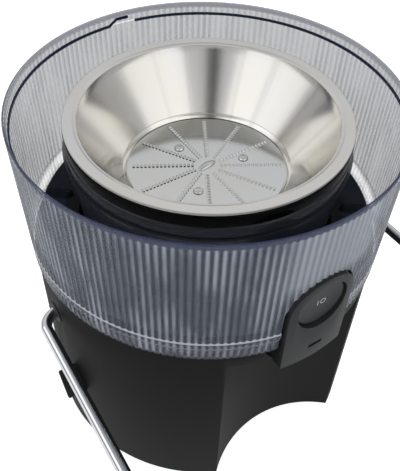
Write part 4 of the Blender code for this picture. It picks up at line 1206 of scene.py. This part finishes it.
# %% Softened copies
def softened_copy(node, name, width):
    """A copy of a CAD node with its triangles merged and its edges rounded."""
    make_active(nodes[node])
    bpy.ops.object.duplicate()
    made = bpy.context.object
    made.name = made.data.name = name
    for key in [key for key in made.keys() if key.startswith("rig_")]:
        del made[key]
    made.parent = None
    bpy.ops.object.mode_set(mode="EDIT")
    bpy.ops.mesh.select_mode(type="VERT")
    bpy.ops.mesh.select_all(action="SELECT")
    bpy.ops.mesh.remove_doubles(threshold=0.002 * MM)
    bpy.ops.mesh.dissolve_limited(angle_limit=math.radians(0.5))
    bpy.ops.object.mode_set(mode="OBJECT")
    return soften(made, width, 2, 40)


for node, name, width, slot, finish in (
    ("bottom_cover", "bottom_cover_plate", 0.3 * MM, "charcoal_plastic", charcoal),
    ("switch_body", "switch_block", 0.5 * MM, "black_plastic", gloss_black),
    ("indicator_lens", "lamp_lens_cap", 0.3 * MM, "lamp_lens", lens_smoke),
):
    settle(softened_copy(node, name, width), "base", slot, finish, node)

# %% Feet, screws and grommet
for number in range(1, 5):
    low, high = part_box(f"foot_{number}")
    radius = (high.x - low.x) / 2
    foot = turned(f"foot_{number}_rubber", [
        (0, high.z), (radius, high.z), (radius, low.z + 1.0 * MM), (radius - 0.3 * MM, low.z + 0.3 * MM),
        (radius - 1.0 * MM, low.z), (radius * 0.55, low.z), (radius * 0.5, low.z + 0.5 * MM),
        (0, low.z + 0.5 * MM),
    ], 48, closed=False)
    shift(foot, ((low.x + high.x) / 2, (low.y + high.y) / 2, 0))
    settle(foot, "base", "rubber", rubber, f"foot_{number}")

    low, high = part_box(f"cover_screw_{number}")
    radius, shank = (high.x - low.x) / 2, 1.5 * MM
    head_top = low.z + 1.2 * MM
    screw = turned(f"cover_screw_{number}_zinc", [
        (0, high.z), (shank, high.z), (shank, head_top), (radius, head_top), (radius, low.z + 0.4 * MM),
        (radius * 0.8, low.z), (0, low.z),
    ], 32, closed=False)
    cut_cross(screw, low.z, 3.2 * MM, 0.8 * MM, 0.7 * MM)
    shift(screw, ((low.x + high.x) / 2, (low.y + high.y) / 2, 0))
    settle(screw, "base", "plated_steel", zinc, f"cover_screw_{number}")

low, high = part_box("cord_gland")
flange, BORE_R = (high.x - low.x) / 2, 3.6 * MM
neck_y = BASE_R + GAP
gland = turned("cord_gland_rubber", [
    (flange - 0.8 * MM, high.y), (flange, high.y - 0.8 * MM), (flange, neck_y), (flange - 2 * MM, neck_y),
    (flange - 2 * MM, low.y), (BORE_R, low.y), (BORE_R, high.y - 0.8 * MM), (BORE_R + 0.8 * MM, high.y),
], 48)
swing(gland, math.pi / 2, "X")
if sum(vertex.co.y for vertex in gland.data.vertices) < 0:
    swing(gland, math.pi, "Z")
shift(gland, (0, 0, GLAND_Z))
settle(gland, "base", "rubber", rubber, "cord_gland")

# %% [markdown]
# ## Inside the base
# The motor is out of sight, but it is there, and its CAD shapes are already right. They only get finishes.

# %% Finishes of the motor
INSIDE = {
    "motor_shaft": ground_steel, "lower_bearing": ground_steel, "upper_bearing": ground_steel,
    "armature": laminations, "motor_stator": laminations, "commutator": copper, "lower_winding": copper,
    "upper_winding": copper, "lower_bracket": zinc, "upper_bracket": zinc, "brush_left": carbon,
    "brush_right": carbon, "cooling_fan": bush_black, "drive_coupling": bush_black, "basket_hub": gloss_black,
    "shaft_seal": rubber,
}
for name, finish in INSIDE.items():
    nodes[name].data.materials.clear()
    nodes[name].data.materials.append(finish)
print(f"{len(INSIDE)} motor pieces have their finish")

# %% [markdown]
# ## Studio
# The floor is plain and pale, so bright that it goes to white. The room is bright above and darker at the
# horizon, which draws the dark edges on the chrome. Two soft lights stand at the sides, and a third stands
# high behind and is kept out of reflections. The steel cone shows a narrow dark card as a dark streak.

# %% Floor and room
FLOOR_SIZE = 12.0
floor_z_low = cad_box[0][2] - 0.1 * MM
floor_at = (0, 0, floor_z_low)
floor = start(bpy.ops.mesh.primitive_plane_add, "studio_floor", size=FLOOR_SIZE, location=floor_at)
paper = Finish("floor_paper")
paper.bump(paper.noise(900, 2), 0.00002, 0.2)
straight = paper.node("ShaderNodeLightPath", output="Is Camera Ray")
floor.data.materials.append(paper.set(
    Base_Color=paper.blend(paper.noise(3), (0.86, 0.86, 0.86), (0.90, 0.90, 0.90)),
    Roughness=0.9,
    Emission_Color=paper.blend(straight, (0.24, 0.24, 0.24), (0.80, 0.80, 0.80)),
    Emission_Strength=1.0,
))

world = bpy.data.worlds.new("studio_room")
bpy.context.scene.world = world
world.use_nodes = True
room_nodes, room_links = world.node_tree.nodes, world.node_tree.links
background = room_nodes["Background"]
direction = room_nodes.new("ShaderNodeTexCoord")
split = room_nodes.new("ShaderNodeSeparateXYZ")
room_links.new(direction.outputs["Generated"], split.inputs[0])
shades = room_nodes.new("ShaderNodeValToRGB")
ROOM_SHADES = (
    (0.0, 0.25), (0.04, 0.05), (0.09, 0.06), (0.15, 0.38), (0.42, 0.50), (0.72, 0.68), (0.93, 0.34),
)
room_links.new(split.outputs[2], shades.inputs[0])
for position, brightness in ROOM_SHADES[1:-1]:
    shades.color_ramp.elements.new(position).color = (brightness, brightness, brightness * 1.03, 1)
for end in (0, -1):
    element = shades.color_ramp.elements[end]
    position, brightness = ROOM_SHADES[end]
    element.position = position
    element.color = (brightness, brightness, brightness, 1)
seen = room_nodes.new("ShaderNodeLightPath")
pick_room = room_nodes.new("ShaderNodeMix")
pick_room.data_type = "RGBA"
pick_room.inputs[7].default_value = (0.93, 0.93, 0.93, 1)
room_links.new(seen.outputs["Is Camera Ray"], pick_room.inputs[0])
room_links.new(shades.outputs[0], pick_room.inputs[6])
room_links.new(pick_room.outputs[2], background.inputs["Color"])
print("floor at", round(floor_z_low, 4))

# %% Lights and cards
TARGET = Vector((0, 0, 0.14))


def stand(distance, turn_degrees, raised_degrees):
    """A place round the machine: turn counted from the front towards +X, raised above the horizon."""
    x, y = on_ring(distance * math.cos(math.radians(raised_degrees)), turn_degrees)
    return TARGET + Vector((x, y, distance * math.sin(math.radians(raised_degrees))))


def aim(thing, at=TARGET):
    thing.rotation_euler = (at - thing.location).to_track_quat("-Z", "Y").to_euler()


for name, turn_degrees, raised, distance, size, power in (
    ("left_softbox", -100, 38, 1.3, (1.6, 0.8), 2.4),
    ("right_softbox", 24, 40, 1.3, (1.3, 0.8), 1.8),
    ("top_softbox", 150, 62, 1.4, (1.1, 0.8), 3.2),
):
    bpy.ops.object.light_add(type="AREA", location=stand(distance, turn_degrees, raised))
    lamp = bpy.context.object
    lamp.name = name
    lamp.data.shape = "RECTANGLE"
    lamp.data.size, lamp.data.size_y = size
    lamp.data.energy = power
    lamp.visible_glossy = name != "top_softbox"
    aim(lamp)

card_black = moulded("card_black", (0.01, 0.01, 0.01), 0.9)
card = start(bpy.ops.mesh.primitive_plane_add, "dark_card", size=1)
card.scale = (0.24, 0.7, 1)
card.location = stand(1.2, -37.5, 46)
aim(card)
card.data.materials.append(card_black)
card.visible_camera = card.visible_diffuse = card.visible_shadow = False
print("lights and cards are up")

# %% [markdown]
# ## Last step
# The selection is cleared at the end.

# %% Clear the selection
bpy.ops.object.select_all(action="DESELECT")
